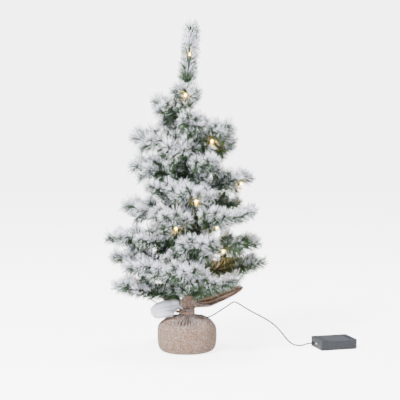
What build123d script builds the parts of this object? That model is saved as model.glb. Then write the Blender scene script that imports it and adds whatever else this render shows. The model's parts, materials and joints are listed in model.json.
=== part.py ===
"""Artificial tabletop fir in a tied jute sack, with a battery light string.

Millimetres. The origin is the centre of the sack's underside, +Z is up, and -Y is the side that faces the viewer.
Every branch is a wire spray that bends where it leaves the taped trunk, so each one is a body of its own.
"""
from build123d import *
from math import cos, pi, radians, sin, tan
from typing import NamedTuple
import os

# ---- weight, sack and tie ----
WEIGHT_RADIUS = 50.5
WEIGHT_BOTTOM = 1.6
WEIGHT_TOP = 42.0
WEIGHT_EDGE = 8.5
SACK_RADIUS = 53.5
SACK_WALL = 1.4
SACK_EDGE = 11.0
WALL_TOP = 43.0
BULGE_IN = 4.9
BULGE_UP = 7.2
SHOULDER_RADIUS = 36.0
SHOULDER_Z = 54.5
NECK_RADIUS = 12.5
NECK_BOTTOM = 61.0
NECK_TOP = 78.0
COLLAR_RADIUS = 19.0
COLLAR_TOP = 90.0
CLOTH_THICKNESS = 4.0
CLOTH_TIP = 4.0
TWINE_RADIUS = 1.3
TWINE_Z = 71.0
TWINE_GAP = 0.05
KNOT_RADIUS = 2.7
END_KNOT_RADIUS = 2.4
TAIL_DIRECTION = (-0.907, 0.035, 0.419)
TAIL_LENGTH = 56.0

# ---- trunk ----
ROD_RADIUS = 3.0
ROD_BOTTOM = 14.0
ROD_TOP = 482.0
ROD_GAP = 0.1
WRAP_RADIUS = 5.5
WRAP_BOTTOM = 46.0
WRAP_TOP = 480.0

# ---- branches ----
WIRE_RADIUS = 1.5
SPRIG_WIRE_RADIUS = 1.1
HINGE_GAP = 0.3
HINGE_RADIUS = WRAP_RADIUS + HINGE_GAP + WIRE_RADIUS
FOOT_LENGTH = 3.6
TINSEL_RADIUS = 5.5
SPRIG_TINSEL_RADIUS = 5.0
TINSEL_START = 20.0
SPRIG_BARE = 19.0
TAPER = 9.0
TIP_RADIUS = 2.2
LEADER_Z = 484.0
LEADER_LENGTH = 108.0
LEADER_LEAN = 5.0
LEADER_TINSEL_START = 8.0
LEADER_TINSEL_RADIUS = 8.0

# ---- lights ----
STRING_RADIUS = 0.8
STRING_GAP = 0.35
STRING_OFFSET = WRAP_RADIUS + STRING_GAP + STRING_RADIUS
STRING_PITCH = 54.0
STRING_PHASE = 312.0
STRING_BOTTOM = 84.0
STRING_TOP = 462.0
LEAD_START = 13.0
LIGHT_DROP = 8.6
LEADER_LIGHT_GAP = 0.4
LEADER_LIGHT_X = 0.8
LEADER_LIGHT_UP = 14.0
LEADER_LEAD = 33.0
HOLDER_RADIUS = 2.3
HOLDER_LENGTH = 7.0
LENS_RADIUS = 2.0
LENS_LENGTH = 5.5

# ---- battery box, in its own frame: X along the box, away from the cord; Y across; Z up ----
BOX_LENGTH = 70.0
BOX_WIDTH = 54.0
BOX_HEIGHT = 18.0
BOX_CENTRE = (273.5, 31.0)
BOX_TURN = 16.0
BOX_WALL = 2.0
BOX_FLOOR = 1.4
BOX_CORNER = 1.6
BAY_X = -22.0
LID_THICKNESS = 2.0
LID_GAP = 0.15
RAIL_THICKNESS = 1.1
RAIL_DEPTH = 3.4
LIP_REACH = 0.9
LIP_HEIGHT = 1.0
SKIRT_HEIGHT = 4.0
GRIP_RIBS = 5
RIB_PITCH = 2.2
RIB_WIDTH = 1.0
RIB_DEPTH = 0.5
RIB_INSET = 3.0
RIB_MARGIN = 6.0
CELL_RADIUS = 7.1
CELL_BODY = 49.5
CELL_NUB = 1.0
CELL_NUB_RADIUS = 2.7
CELL_PITCH = 15.4
CELL_COUNT = 3
PLATE_THICKNESS = 0.5
PLATE_SIZE = 9.0
SPRING_WIRE = 0.3
SPRING_RADIUS = 2.9
SPRING_TURNS = 2.5
SPRING_GAP = 0.05
CELL_GAP = 0.05
SLIDER_TRAVEL = 4.0
SLIDER_Z = 9.0
NUB_LENGTH = 4.0
NUB_HEIGHT = 3.0
NUB_REACH = 1.6
NUB_RIB_PITCH = 1.1
NUB_RIB = 0.4
SLIDER_PLATE = 0.8
SLIDER_MARGIN = 3.0
SLIDER_HALF_HEIGHT = 2.4
SWITCH_DEPTH = 3.4
SWITCH_HALF_WIDTH = 7.5
SWITCH_HALF_HEIGHT = 3.0
PIN_PITCH = 2.5
PIN_LENGTH = 1.6
PIN_RADIUS = 0.4
BOARD_BEHIND = 5.2
BOARD_THICKNESS = 1.0
BOARD_ENDS = (-20.0, 12.0)
BOARD_HEIGHT = 12.0
BOARD_LIFT = 0.3
CORD_INLET = (19.0, 6.0)
GROMMET_RADIUS = 2.6
GROMMET_FLANGE = 3.4
GROMMET_LIP = 0.8

# ---- power cord: from the sack's neck, over a kink, down to the surface and into the box ----
CORD_RADIUS = 1.5
CORD_ROUTE = [
    (12.7, -2.0, 66.5),
    (24.0, -0.8, 64.0),
    (36.0, 1.6, 60.8),
    (46.0, 4.0, 63.5),
    (60.0, 7.0, 72.0),
    (76.0, 10.2, 82.0),
    (87.0, 13.0, 89.5),
    (97.5, 15.5, 83.0),
    (115.0, 18.0, 71.5),
    (138.0, 22.3, 59.0),
    (158.5, 25.0, 46.5),
    (174.0, 28.8, 30.5),
    (185.0, 30.5, 15.5),
    (196.5, 33.0, 4.2),
    (213.0, 34.4, 1.6),
    (226.2, 37.2, 6.0),
]


class Corner(NamedTuple):
    azimuth: float  # degrees from +X, turning towards +Y
    base_z: float   # height where its middle line meets the trunk's axis
    rise: float     # degrees above level
    start: float    # distance from the axis where it begins
    reach: float
    width: float    # across its base


RIGHT_CORNER = Corner(356, 78, 20, 15.5, 98, 24)
LEFT_CORNER = Corner(217, 84, -14, 12.8, 55, 28)


class Sprig(NamedTuple):
    at: float      # share of the branch's length where it leaves
    turn: float    # degrees away from the branch, positive towards a larger azimuth
    lift: float    # degrees up out of the spray's plane
    length: float


class Branch(NamedTuple):
    azimuth: float  # degrees from +X, turning towards +Y
    root: float     # height of the bend at the trunk
    rise: float     # degrees above level
    length: float
    light: float = 0.0   # distance of a light along the stem, or 0 for none


SHORT_BRANCH = 62.0
LONG_BRANCH = 95.0


def sprigs_of(branch):
    """Two side tips on every branch, and a third near the end of a long one."""
    length = branch.length
    if length < SHORT_BRANCH:
        return [Sprig(0.30, 40, 6, 0.66 * length), Sprig(0.36, -40, 6, 0.64 * length)]
    pair = [Sprig(0.26, 38, 4, 0.52 * length), Sprig(0.42, -38, 4, 0.48 * length)]
    if length < LONG_BRANCH:
        return pair
    return pair + [Sprig(0.60, 34, 8, 0.36 * length)]


BRANCHES = [
    Branch(180, 100, 9.5, 124),
    Branch(322, 106, 18, 108),
    Branch(70, 116, 10, 116, 80),
    Branch(268, 125, 20, 104),
    Branch(10, 141, 8, 136),
    Branch(213, 146, 8, 120),
    Branch(160, 155, 5, 138, 94),
    Branch(286, 167, 24, 106),
    Branch(344, 184, 9, 126, 46),
    Branch(112, 188, 12, 118, 80),
    Branch(196, 196, 7, 138),
    Branch(328, 220, 18, 136, 43),
    Branch(246, 222, 22, 96, 24),
    Branch(168, 240, 13, 112),
    Branch(38, 244, 14, 112),
    Branch(284, 260, 24, 90, 52),
    Branch(116, 276, 14, 98, 60),
    Branch(224, 278, 20, 84),
    Branch(2, 292, 14, 110, 78),
    Branch(174, 316, 15, 94),
    Branch(306, 322, 25, 76),
    Branch(80, 325.5, 16, 86, 56),
    Branch(242, 350, 24, 68),
    Branch(26, 357, 13, 84),
    Branch(184, 370, 14, 90),
    Branch(350, 378, 20, 78, 24),
    Branch(118, 396, 22, 58, 38),
    Branch(290, 399, 32, 48),
    Branch(200, 427, 28, 54),
    Branch(268, 447, 40, 44, 26),
]


# ---- shapes ----
UP = Vector(0, 0, 1)
LEADER_AXIS = Vector(sin(radians(LEADER_LEAN)), 0, cos(radians(LEADER_LEAN)))


def save(name, shape):
    """Writes one node; several solids go in as a compound."""
    solids = shape.solids()
    export_step(solids[0] if len(solids) == 1 else Compound(children=list(solids)), f"parts/{name}.step")


def rod(start, direction, length, radius, end_radius=None):
    """A round bar from a point along a direction, straight or tapered."""
    plane = Plane(origin=start, z_dir=direction)
    aligned = (Align.CENTER, Align.CENTER, Align.MIN)
    if end_radius is None:
        return plane * Cylinder(radius, length, align=aligned)
    return plane * Cone(radius, end_radius, length, align=aligned)


def tinsel(start, direction, length, radius):
    """The dense core of needles round a wire: a round bar with a tapered tip."""
    body = rod(start, direction, length - TAPER, radius)
    return body + rod(start + direction * (length - TAPER), direction, TAPER, radius, TIP_RADIUS)


def ball(centre, radius):
    return Pos(*centre) * Sphere(radius)


def foot(root, across):
    """The bent end of a stem wire, which lies level across the stem and is the axis that it bends about."""
    return Plane(origin=root, z_dir=across) * Cylinder(WIRE_RADIUS, FOOT_LENGTH)


# ---- sack, weight and tie ----
def cement_weight():
    """A cast puck with a blind hole for the trunk."""
    height = WEIGHT_TOP - WEIGHT_BOTTOM
    puck = Pos(0, 0, WEIGHT_BOTTOM + height / 2) * Cylinder(WEIGHT_RADIUS, height)
    puck = fillet(puck.edges().group_by(Axis.Z)[0], WEIGHT_EDGE)
    hole_height = WEIGHT_TOP - ROD_BOTTOM
    return puck - Pos(0, 0, ROD_BOTTOM + hole_height / 2) * Cylinder(ROD_RADIUS + ROD_GAP, hole_height)


def sack_skin(shrink):
    """The gathered sack as a solid of revolution, pulled in by a wall thickness, without its mouth's hollow."""
    wall = SACK_RADIUS - shrink
    edge = SACK_EDGE - shrink
    neck = NECK_RADIUS - shrink
    outline = Polyline((0, shrink), (wall - edge, shrink))
    outline += RadiusArc((wall - edge, shrink), (wall, shrink + edge), -edge)
    outline += Line((wall, shrink + edge), (wall, WALL_TOP))
    outline += ThreePointArc(
        (wall, WALL_TOP),
        (wall - BULGE_IN, WALL_TOP + BULGE_UP - shrink / 2),
        (SHOULDER_RADIUS, SHOULDER_Z - shrink),
    )
    outline += Polyline(
        (SHOULDER_RADIUS, SHOULDER_Z - shrink),
        (neck, NECK_BOTTOM - shrink),
        (neck, NECK_TOP),
        (COLLAR_RADIUS - shrink, COLLAR_TOP),
        (0, COLLAR_TOP),
        (0, shrink),
    )
    return revolve(Plane.XZ * make_face(outline), Axis.Z)


def cloth_wedge(corner):
    """A corner of the jute that sticks out of the collar: a thin blunt wedge."""
    half, tip = corner.width / 2, CLOTH_TIP / 2
    start, reach = corner.start, corner.reach
    outline = make_face(Polyline((start, -half), (reach, -tip), (reach, tip), (start, half), (start, -half)))
    wedge = extrude(outline, CLOTH_THICKNESS / 2, both=True)
    return Pos(0, 0, corner.base_z) * Rot(0, 0, corner.azimuth) * Rot(0, -corner.rise, 0) * wedge


def jute_sack():
    """The sack's skin with a long corner to the right and a short one to the left."""
    skin = sack_skin(0) - sack_skin(SACK_WALL)
    return skin + cloth_wedge(RIGHT_CORNER) + cloth_wedge(LEFT_CORNER)


def twine_tie():
    """Two turns of twine round the neck, and a knot with a stiff tail that ends in a smaller knot."""
    ring_radius = NECK_RADIUS + TWINE_RADIUS + TWINE_GAP
    ring_step = 2 * (TWINE_RADIUS + TWINE_GAP)
    rings = [Pos(0, 0, TWINE_Z + turn * ring_step) * Torus(ring_radius, TWINE_RADIUS) for turn in (0, 1)]
    knot_centre = Vector(-ring_radius - TWINE_RADIUS - KNOT_RADIUS - TWINE_GAP, 0, TWINE_Z + TWINE_RADIUS)
    direction = Vector(*TAIL_DIRECTION).normalized()
    tail = rod(knot_centre, direction, TAIL_LENGTH, TWINE_RADIUS)
    tail_end = knot_centre + direction * TAIL_LENGTH
    return Compound(children=rings + [ball(knot_centre, KNOT_RADIUS) + tail + ball(tail_end, END_KNOT_RADIUS)])


# ---- trunk ----
def trunk_rod():
    return rod(Vector(0, 0, ROD_BOTTOM), UP, ROD_TOP - ROD_BOTTOM, ROD_RADIUS)


def trunk_wrap():
    """The tape that binds the branch wires to the rod, as a sleeve."""
    height = WRAP_TOP - WRAP_BOTTOM
    sleeve = rod(Vector(0, 0, WRAP_BOTTOM), UP, height, WRAP_RADIUS)
    return sleeve - rod(Vector(0, 0, WRAP_BOTTOM), UP, height, ROD_RADIUS + ROD_GAP)


def leader():
    """The top spike on its own bent wire, which leans a little to the right."""
    root = Vector(0, 0, LEADER_Z)
    stem = foot(root, Vector(0, 1, 0)) + rod(root, LEADER_AXIS, LEADER_TINSEL_START, WIRE_RADIUS)
    start = root + LEADER_AXIS * LEADER_TINSEL_START
    spike = tinsel(start, LEADER_AXIS, LEADER_LENGTH - LEADER_TINSEL_START, LEADER_TINSEL_RADIUS)
    return [stem, spike]


# ---- branches and lights ----
def branch_axes(branch):
    """The bend's centre, and the unit vectors along the stem, across it and up from it."""
    turn, rise = radians(branch.azimuth), radians(branch.rise)
    out = Vector(cos(turn), sin(turn), 0)
    across = Vector(-sin(turn), cos(turn), 0)
    along = out * cos(rise) + UP * sin(rise)
    lift = UP * cos(rise) - out * sin(rise)
    return out * HINGE_RADIUS + UP * branch.root, along, across, lift


def branch_solids(branch):
    """The bare stem, its core of needles, and each sprig's bare wire and core."""
    root, along, across, lift = branch_axes(branch)
    core = tinsel(root + along * TINSEL_START, along, branch.length - TINSEL_START, TINSEL_RADIUS)
    stem = foot(root, across) + rod(root, along, TINSEL_START, WIRE_RADIUS)
    solids = [stem, core]
    core_bar = rod(root + along * TINSEL_START, along, branch.length, TINSEL_RADIUS)
    for sprig in sprigs_of(branch):
        turn, up = radians(sprig.turn), radians(sprig.lift)
        direction = along * (cos(turn) * cos(up)) + across * (sin(turn) * cos(up)) + lift * sin(up)
        start = root + along * (branch.length * sprig.at)
        wire = rod(start, direction, SPRIG_BARE, SPRIG_WIRE_RADIUS) - core_bar
        needles = tinsel(start + direction * SPRIG_BARE, direction, sprig.length - SPRIG_BARE, SPRIG_TINSEL_RADIUS)
        solids += [max(wire.solids(), key=lambda piece: piece.volume), needles]
    return solids


def light_solids(start, direction, lead_length):
    """A lead, a holder and a round-nosed lens in line."""
    lead = rod(start, direction, lead_length, STRING_RADIUS)
    holder_start = start + direction * lead_length
    holder = rod(holder_start, direction, HOLDER_LENGTH, HOLDER_RADIUS)
    lens_start = holder_start + direction * HOLDER_LENGTH
    barrel = LENS_LENGTH - LENS_RADIUS
    lens = rod(lens_start, direction, barrel, LENS_RADIUS)
    nose = ball(lens_start + direction * barrel, LENS_RADIUS)
    return [lead, holder, lens + nose]


def branch_light(branch):
    """A light that hangs under its branch."""
    root, along, across, lift = branch_axes(branch)
    start = root + along * LEAD_START - lift * LIGHT_DROP
    return light_solids(start, along, branch.light - LEAD_START)


def leader_light():
    """A light on the viewer's side of the top spike."""
    offset = LEADER_TINSEL_RADIUS + HOLDER_RADIUS + LEADER_LIGHT_GAP
    start = Vector(LEADER_LIGHT_X, -offset, LEADER_Z) + LEADER_AXIS * LEADER_LIGHT_UP
    return light_solids(start, LEADER_AXIS, LEADER_LEAD)


def light_wire():
    """The string's wire, wound up the trunk between the branches."""
    turns_height = STRING_TOP - STRING_BOTTOM
    path = Pos(0, 0, STRING_BOTTOM) * Rot(0, 0, STRING_PHASE) * Helix(STRING_PITCH, turns_height, STRING_OFFSET)
    section = Plane(origin=path @ 0, z_dir=path % 0) * Circle(STRING_RADIUS)
    return sweep(section, path=path)


# ---- power cord ----
def corner_radii(points):
    """Each corner's largest arc: 0.45 of the shorter run, over the tangent of half the turn."""
    radii = []
    for before, corner, after in zip(points, points[1:], points[2:]):
        run_in, run_out = corner - before, after - corner
        half_turn = radians(run_in.get_angle(run_out)) / 2
        radii.append(0.45 * min(run_in.length, run_out.length) / tan(half_turn))
    return radii


def power_cord():
    """The two-wire lead as a plain tube, from the sack's neck to the grommet."""
    inlet = box_place() * Pos(-BOX_LENGTH / 2 - GROMMET_LIP, *CORD_INLET)
    points = [Vector(*point) for point in CORD_ROUTE] + [inlet.position]
    radii = corner_radii(points)
    path = FilletPolyline(*points, radius=radii)
    tube = sweep(Plane(origin=path @ 0, z_dir=path % 0) * Circle(CORD_RADIUS), path=path)
    print("cord: length", round(path.length, 1), "volume ratio",
          round(tube.volume / (path.length * pi * CORD_RADIUS**2), 4))
    print("cord: radii", [round(radius, 1) for radius in radii])
    print("cord: runs", [round((after - before).length, 1) for before, after in zip(points, points[1:])])
    print("cord: inlet", inlet.position)
    return tube


# ---- battery box ----
def box_place():
    return Pos(*BOX_CENTRE, 0) * Rot(0, 0, BOX_TURN)


def block(low, high):
    """A box between two corners."""
    size = [top - bottom for bottom, top in zip(low, high)]
    return Pos(*[(bottom + top) / 2 for bottom, top in zip(low, high)]) * Box(*size)


HALF_LENGTH = BOX_LENGTH / 2
HALF_WIDTH = BOX_WIDTH / 2
LID_BOTTOM = BOX_HEIGHT - LID_THICKNESS
RIM_Z = LID_BOTTOM - LID_GAP
INNER_HALF_WIDTH = HALF_WIDTH - BOX_WALL
LIP_Z = RIM_Z - RAIL_DEPTH + LIP_HEIGHT
LID_START = BAY_X + LID_GAP


def battery_case():
    """An open tray with a closed switch bay at the cord's end and grooves for the sliding lid."""
    shell = block((-HALF_LENGTH, -HALF_WIDTH, 0), (HALF_LENGTH, HALF_WIDTH, BOX_HEIGHT))
    shell = fillet(shell.edges().filter_by(Axis.Z), BOX_CORNER)
    above_rim = block((BAY_X, -HALF_WIDTH - 1, RIM_Z), (HALF_LENGTH + 1, HALF_WIDTH + 1, BOX_HEIGHT + 1))
    cell_bay = block(
        (BAY_X + BOX_WALL / 2, -INNER_HALF_WIDTH, BOX_FLOOR),
        (HALF_LENGTH - BOX_WALL, INNER_HALF_WIDTH, BOX_HEIGHT),
    )
    switch_bay = block(
        (-HALF_LENGTH + BOX_WALL, -INNER_HALF_WIDTH, BOX_FLOOR),
        (BAY_X - BOX_WALL / 2, INNER_HALF_WIDTH, BOX_HEIGHT - BOX_WALL),
    )
    skirt_way = block(
        (HALF_LENGTH - BOX_WALL - 1, -INNER_HALF_WIDTH, RIM_Z - SKIRT_HEIGHT - LID_GAP),
        (HALF_LENGTH + 1, INNER_HALF_WIDTH, BOX_HEIGHT),
    )
    case = shell - above_rim - cell_bay - switch_bay - skirt_way
    for side in (-1, 1):
        groove_y = sorted((side * (INNER_HALF_WIDTH - 1), side * (INNER_HALF_WIDTH + LIP_REACH)))
        case -= block(
            (BAY_X + BOX_WALL / 2, groove_y[0], LIP_Z - LIP_HEIGHT - LID_GAP),
            (HALF_LENGTH + 1, groove_y[1], LIP_Z + LID_GAP),
        )
    slot_half = (NUB_LENGTH + SLIDER_TRAVEL) / 2 + LID_GAP
    slot_rise = NUB_HEIGHT / 2 + LID_GAP
    case -= block(
        (-HALF_LENGTH - 1, -slot_half, SLIDER_Z - slot_rise),
        (-HALF_LENGTH + BOX_WALL + 1, slot_half, SLIDER_Z + slot_rise),
    )
    hole = rod(Vector(-HALF_LENGTH - 1, *CORD_INLET), Vector(1, 0, 0), BOX_WALL + 2, GROMMET_RADIUS)
    return case - hole


def battery_lid():
    """A sliding plate with a hooked rail down each side, a skirt at its end and grip ribs across."""
    plate = block((LID_START, -HALF_WIDTH, LID_BOTTOM), (HALF_LENGTH, HALF_WIDTH, BOX_HEIGHT))
    corners = plate.edges().filter_by(Axis.Z).group_by(Axis.X)[-1]
    plate = fillet(corners, BOX_CORNER)
    rail_out = INNER_HALF_WIDTH - LID_GAP
    for side in (-1, 1):
        rail_y = sorted((side * rail_out, side * (rail_out - RAIL_THICKNESS)))
        lip_y = sorted((side * (rail_out + LIP_REACH - LID_GAP), side * (rail_out - RAIL_THICKNESS)))
        first, last = BAY_X + BOX_WALL / 2 + LID_GAP, HALF_LENGTH - BOX_WALL
        bottom = LIP_Z - LIP_HEIGHT
        plate += block((first, rail_y[0], bottom), (last, rail_y[1], LID_BOTTOM))
        plate += block((first, lip_y[0], bottom), (last, lip_y[1], LIP_Z))
    skirt_low = (HALF_LENGTH - BOX_WALL, -rail_out, RIM_Z - SKIRT_HEIGHT)
    plate += block(skirt_low, (HALF_LENGTH, rail_out, LID_BOTTOM))
    for rib in range(GRIP_RIBS):
        x = HALF_LENGTH - RIB_INSET - RIB_PITCH * rib
        plate -= block(
            (x - RIB_WIDTH / 2, -HALF_WIDTH + RIB_MARGIN, BOX_HEIGHT - RIB_DEPTH),
            (x + RIB_WIDTH / 2, HALF_WIDTH - RIB_MARGIN, BOX_HEIGHT),
        )
    return plate


CELL_LOW_X = BAY_X + BOX_WALL / 2 + PLATE_THICKNESS
CELL_HIGH_X = HALF_LENGTH - BOX_WALL - PLATE_THICKNESS
CELL_Z = BOX_FLOOR + CELL_RADIUS + CELL_GAP


def cell_rows():
    """Each cell's Y, and whether its nub points away from the cord."""
    for index in range(CELL_COUNT):
        yield (index - (CELL_COUNT - 1) / 2) * CELL_PITCH, index % 2 == 0


def batteries():
    """Three cells side by side, the middle one turned round."""
    cells = []
    for y, forward in cell_rows():
        way = 1 if forward else -1
        nub_tip = (CELL_HIGH_X if forward else CELL_LOW_X)
        direction = Vector(-way, 0, 0)
        nub = rod(Vector(nub_tip, y, CELL_Z), direction, CELL_NUB, CELL_NUB_RADIUS)
        body = rod(Vector(nub_tip - way * CELL_NUB, y, CELL_Z), direction, CELL_BODY, CELL_RADIUS)
        cells.append(nub + body)
    return cells


def battery_contacts():
    """A nickel plate behind each end of each cell, and a coil at its flat end."""
    plates = []
    half = PLATE_SIZE / 2
    for y, _ in cell_rows():
        for x in (CELL_LOW_X - PLATE_THICKNESS, CELL_HIGH_X):
            plates.append(block((x, y - half, CELL_Z - half), (x + PLATE_THICKNESS, y + half, CELL_Z + half)))
    springs = []
    room = CELL_HIGH_X - CELL_LOW_X - CELL_BODY - CELL_NUB
    height = room - 2 * (SPRING_WIRE + SPRING_GAP)
    for y, forward in cell_rows():
        x = CELL_LOW_X + SPRING_WIRE + SPRING_GAP if forward else CELL_HIGH_X - SPRING_WIRE - SPRING_GAP - height
        path = Pos(x, y, CELL_Z) * Rot(0, 90, 0) * Helix(height / SPRING_TURNS, height, SPRING_RADIUS)
        springs.append(sweep(Plane(origin=path @ 0, z_dir=path % 0) * Circle(SPRING_WIRE * 0.9), path=path))
    return plates + springs


SLIDER_BACK = -HALF_LENGTH + BOX_WALL


def switch_slider():
    """A flat plate behind the end wall, with a ribbed nub through the slot."""
    y = -SLIDER_TRAVEL / 2
    plate = block(
        (SLIDER_BACK + LID_GAP, y - NUB_LENGTH / 2 - SLIDER_MARGIN, SLIDER_Z - SLIDER_HALF_HEIGHT),
        (SLIDER_BACK + LID_GAP + SLIDER_PLATE, y + NUB_LENGTH / 2 + SLIDER_MARGIN, SLIDER_Z + SLIDER_HALF_HEIGHT),
    )
    nub = block(
        (-HALF_LENGTH - NUB_REACH, y - NUB_LENGTH / 2, SLIDER_Z - NUB_HEIGHT / 2),
        (SLIDER_BACK + LID_GAP, y + NUB_LENGTH / 2, SLIDER_Z + NUB_HEIGHT / 2),
    )
    for rib in (-1, 0, 1):
        rib_y = y + rib * NUB_RIB_PITCH
        nub -= block(
            (-HALF_LENGTH - NUB_REACH, rib_y - NUB_RIB / 2, SLIDER_Z - NUB_HEIGHT / 2),
            (-HALF_LENGTH - NUB_REACH + NUB_RIB, rib_y + NUB_RIB / 2, SLIDER_Z + NUB_HEIGHT / 2),
        )
    return plate + nub


SWITCH_FRONT = SLIDER_BACK + SLIDER_PLATE + 2 * LID_GAP


def switch_body():
    """The switch's housing behind its slider, with three pins."""
    back = SWITCH_FRONT + SWITCH_DEPTH
    body = block(
        (SWITCH_FRONT, -SWITCH_HALF_WIDTH, SLIDER_Z - SWITCH_HALF_HEIGHT),
        (back, SWITCH_HALF_WIDTH, SLIDER_Z + SWITCH_HALF_HEIGHT),
    )
    for pin in (-1, 0, 1):
        body += rod(Vector(back, pin * PIN_PITCH, SLIDER_Z), Vector(1, 0, 0), PIN_LENGTH, PIN_RADIUS)
    return body


def timer_board():
    """A small upright board with a chip and a resistor, beside the switch."""
    x = SWITCH_FRONT + BOARD_BEHIND
    bottom = BOX_FLOOR + BOARD_LIFT
    board = block((x, BOARD_ENDS[0], bottom), (x + BOARD_THICKNESS, BOARD_ENDS[1], bottom + BOARD_HEIGHT))
    chip = block((x - 1.2, -16, SLIDER_Z - 3), (x, -11, SLIDER_Z + 1))
    resistor = block((x - 0.8, 8.4, SLIDER_Z - 2), (x, 10.6, SLIDER_Z + 2))
    return board + chip + resistor


def cord_grommet():
    """A flanged ring that lines the cord's hole."""
    way = Vector(1, 0, 0)
    outside = Vector(-HALF_LENGTH - GROMMET_LIP, *CORD_INLET)
    ring = rod(outside, way, GROMMET_LIP, GROMMET_FLANGE)
    ring += rod(Vector(-HALF_LENGTH, *CORD_INLET), way, BOX_WALL, GROMMET_RADIUS)
    return ring - rod(outside + way * GROMMET_LIP / 2, way, BOX_WALL + 1, CORD_RADIUS)


def main():
    os.makedirs("parts", exist_ok=True)
    for number, branch in enumerate(BRANCHES, 1):
        save(f"branch_{number:02d}", Compound(children=branch_solids(branch)))
    lit = [branch for branch in BRANCHES if branch.light]
    for number, branch in enumerate(lit, 1):
        save(f"light_{number:02d}", Compound(children=branch_light(branch)))
    save(f"light_{len(lit) + 1:02d}", Compound(children=leader_light()))
    save("leader", Compound(children=leader()))
    for make in (cement_weight, jute_sack, twine_tie, trunk_rod, trunk_wrap, light_wire, power_cord):
        save(make.__name__, make())
    place = box_place()
    for make in (battery_case, battery_lid, switch_slider, switch_body, timer_board, cord_grommet):
        save(make.__name__, place * make())
    for make in (batteries, battery_contacts):
        save(make.__name__, place * Compound(children=make()))


main()
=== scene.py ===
"""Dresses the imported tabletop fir: needles, flock, jute sack, twine, lights, lead and battery box.

Metres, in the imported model's frame: +Z up, -Y towards the viewer, the origin under the middle of the sack.
Every new piece is a surface worked out as whole arrays. Its pattern follows object coordinates, a UV map or
an attribute.
"""

import json
import math
from typing import NamedTuple

import bpy
import numpy as np
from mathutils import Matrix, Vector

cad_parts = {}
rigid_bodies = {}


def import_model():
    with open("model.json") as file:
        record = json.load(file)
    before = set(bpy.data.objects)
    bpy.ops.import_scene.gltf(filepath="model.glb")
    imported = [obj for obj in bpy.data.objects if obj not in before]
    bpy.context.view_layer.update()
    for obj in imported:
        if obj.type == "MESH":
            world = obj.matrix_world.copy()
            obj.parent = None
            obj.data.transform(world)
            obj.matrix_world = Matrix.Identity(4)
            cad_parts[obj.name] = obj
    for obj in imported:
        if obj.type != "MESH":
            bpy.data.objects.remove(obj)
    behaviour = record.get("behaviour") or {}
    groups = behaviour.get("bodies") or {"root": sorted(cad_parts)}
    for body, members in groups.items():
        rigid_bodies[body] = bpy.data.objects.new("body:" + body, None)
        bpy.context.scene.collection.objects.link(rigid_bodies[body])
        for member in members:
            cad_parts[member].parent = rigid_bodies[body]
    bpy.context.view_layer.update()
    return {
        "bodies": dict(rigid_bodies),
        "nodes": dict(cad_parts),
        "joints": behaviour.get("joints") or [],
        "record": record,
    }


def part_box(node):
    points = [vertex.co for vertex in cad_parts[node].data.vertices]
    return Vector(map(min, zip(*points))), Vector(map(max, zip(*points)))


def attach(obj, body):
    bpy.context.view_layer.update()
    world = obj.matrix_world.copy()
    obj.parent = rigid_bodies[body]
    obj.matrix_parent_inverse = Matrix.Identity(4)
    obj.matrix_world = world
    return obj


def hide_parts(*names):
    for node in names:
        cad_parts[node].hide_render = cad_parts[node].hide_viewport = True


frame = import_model()
JOINT_OF = {joint["child"]: joint for joint in frame["joints"]}
BRANCHES = sorted(body for body in frame["bodies"] if body.startswith("branch_"))
BODY_OF = {node: body for body, nodes in frame["record"]["behaviour"]["bodies"].items() for node in nodes}
LIGHTS = sorted(node for node in frame["nodes"] if node.startswith("light_") and node != "light_wire")

bl_info = {
    "name": "Flocked tabletop fir",
    "version": (1, 0, 0),
    "blender": (4, 5, 0),
    "location": "View3D > Sidebar > Fir",
    "description": "Builds the needles, flock, sack, twine, lights and lead of a small lit fir",
    "category": "Add Mesh",
}

MM = 0.001
UP = np.array([0.0, 0.0, 1.0])
SEED = 20240
WORLD_LIGHT = 0.62
WORLD_WHITE = 5.3
FLOOR_GLOW = 4.6

# The lead's route, from the sack's neck over its kink and down to the battery box.
LEAD_ROUTE = [
    (0.0127, -0.0020, 0.0665),
    (0.0240, -0.0008, 0.0640),
    (0.0360, 0.0016, 0.0608),
    (0.0460, 0.0040, 0.0635),
    (0.0600, 0.0070, 0.0720),
    (0.0760, 0.0102, 0.0820),
    (0.0870, 0.0130, 0.0895),
    (0.0975, 0.0155, 0.0830),
    (0.1150, 0.0180, 0.0715),
    (0.1380, 0.0223, 0.0590),
    (0.1585, 0.0250, 0.0465),
    (0.1740, 0.0288, 0.0305),
    (0.1850, 0.0305, 0.0155),
    (0.1965, 0.0330, 0.0042),
    (0.2130, 0.0344, 0.0016),
    (0.2262, 0.0372, 0.0060),
    (0.23385, 0.0394, 0.0060),
]
LEAD_DIAMETER = 0.003
LEAD_TURNS = 125.0


# ---------------------------------------------------------------- settings
class FoliageSettings(bpy.types.PropertyGroup):
    needle_length: bpy.props.FloatProperty(
        name="Needle length", description="Length of a needle on a branch", default=0.0172, unit="LENGTH"
    )
    needle_width: bpy.props.FloatProperty(
        name="Needle width", description="Width of a bare needle's strip", default=0.00115, unit="LENGTH"
    )
    needles_per_metre: bpy.props.FloatProperty(
        name="Needles per metre", description="Needles along one metre of wire", default=6400
    )
    flock: bpy.props.FloatProperty(
        name="Flock", description="How much of the needles the flock covers", default=1.0, subtype="FACTOR"
    )
    green: bpy.props.FloatVectorProperty(
        name="Needle green", description="Colour of bare needles", default=(0.058, 0.115, 0.042),
        subtype="COLOR"
    )
    white: bpy.props.FloatVectorProperty(
        name="Flock white", description="Colour of the flock", default=(0.90, 0.90, 1.0), subtype="COLOR"
    )


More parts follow.
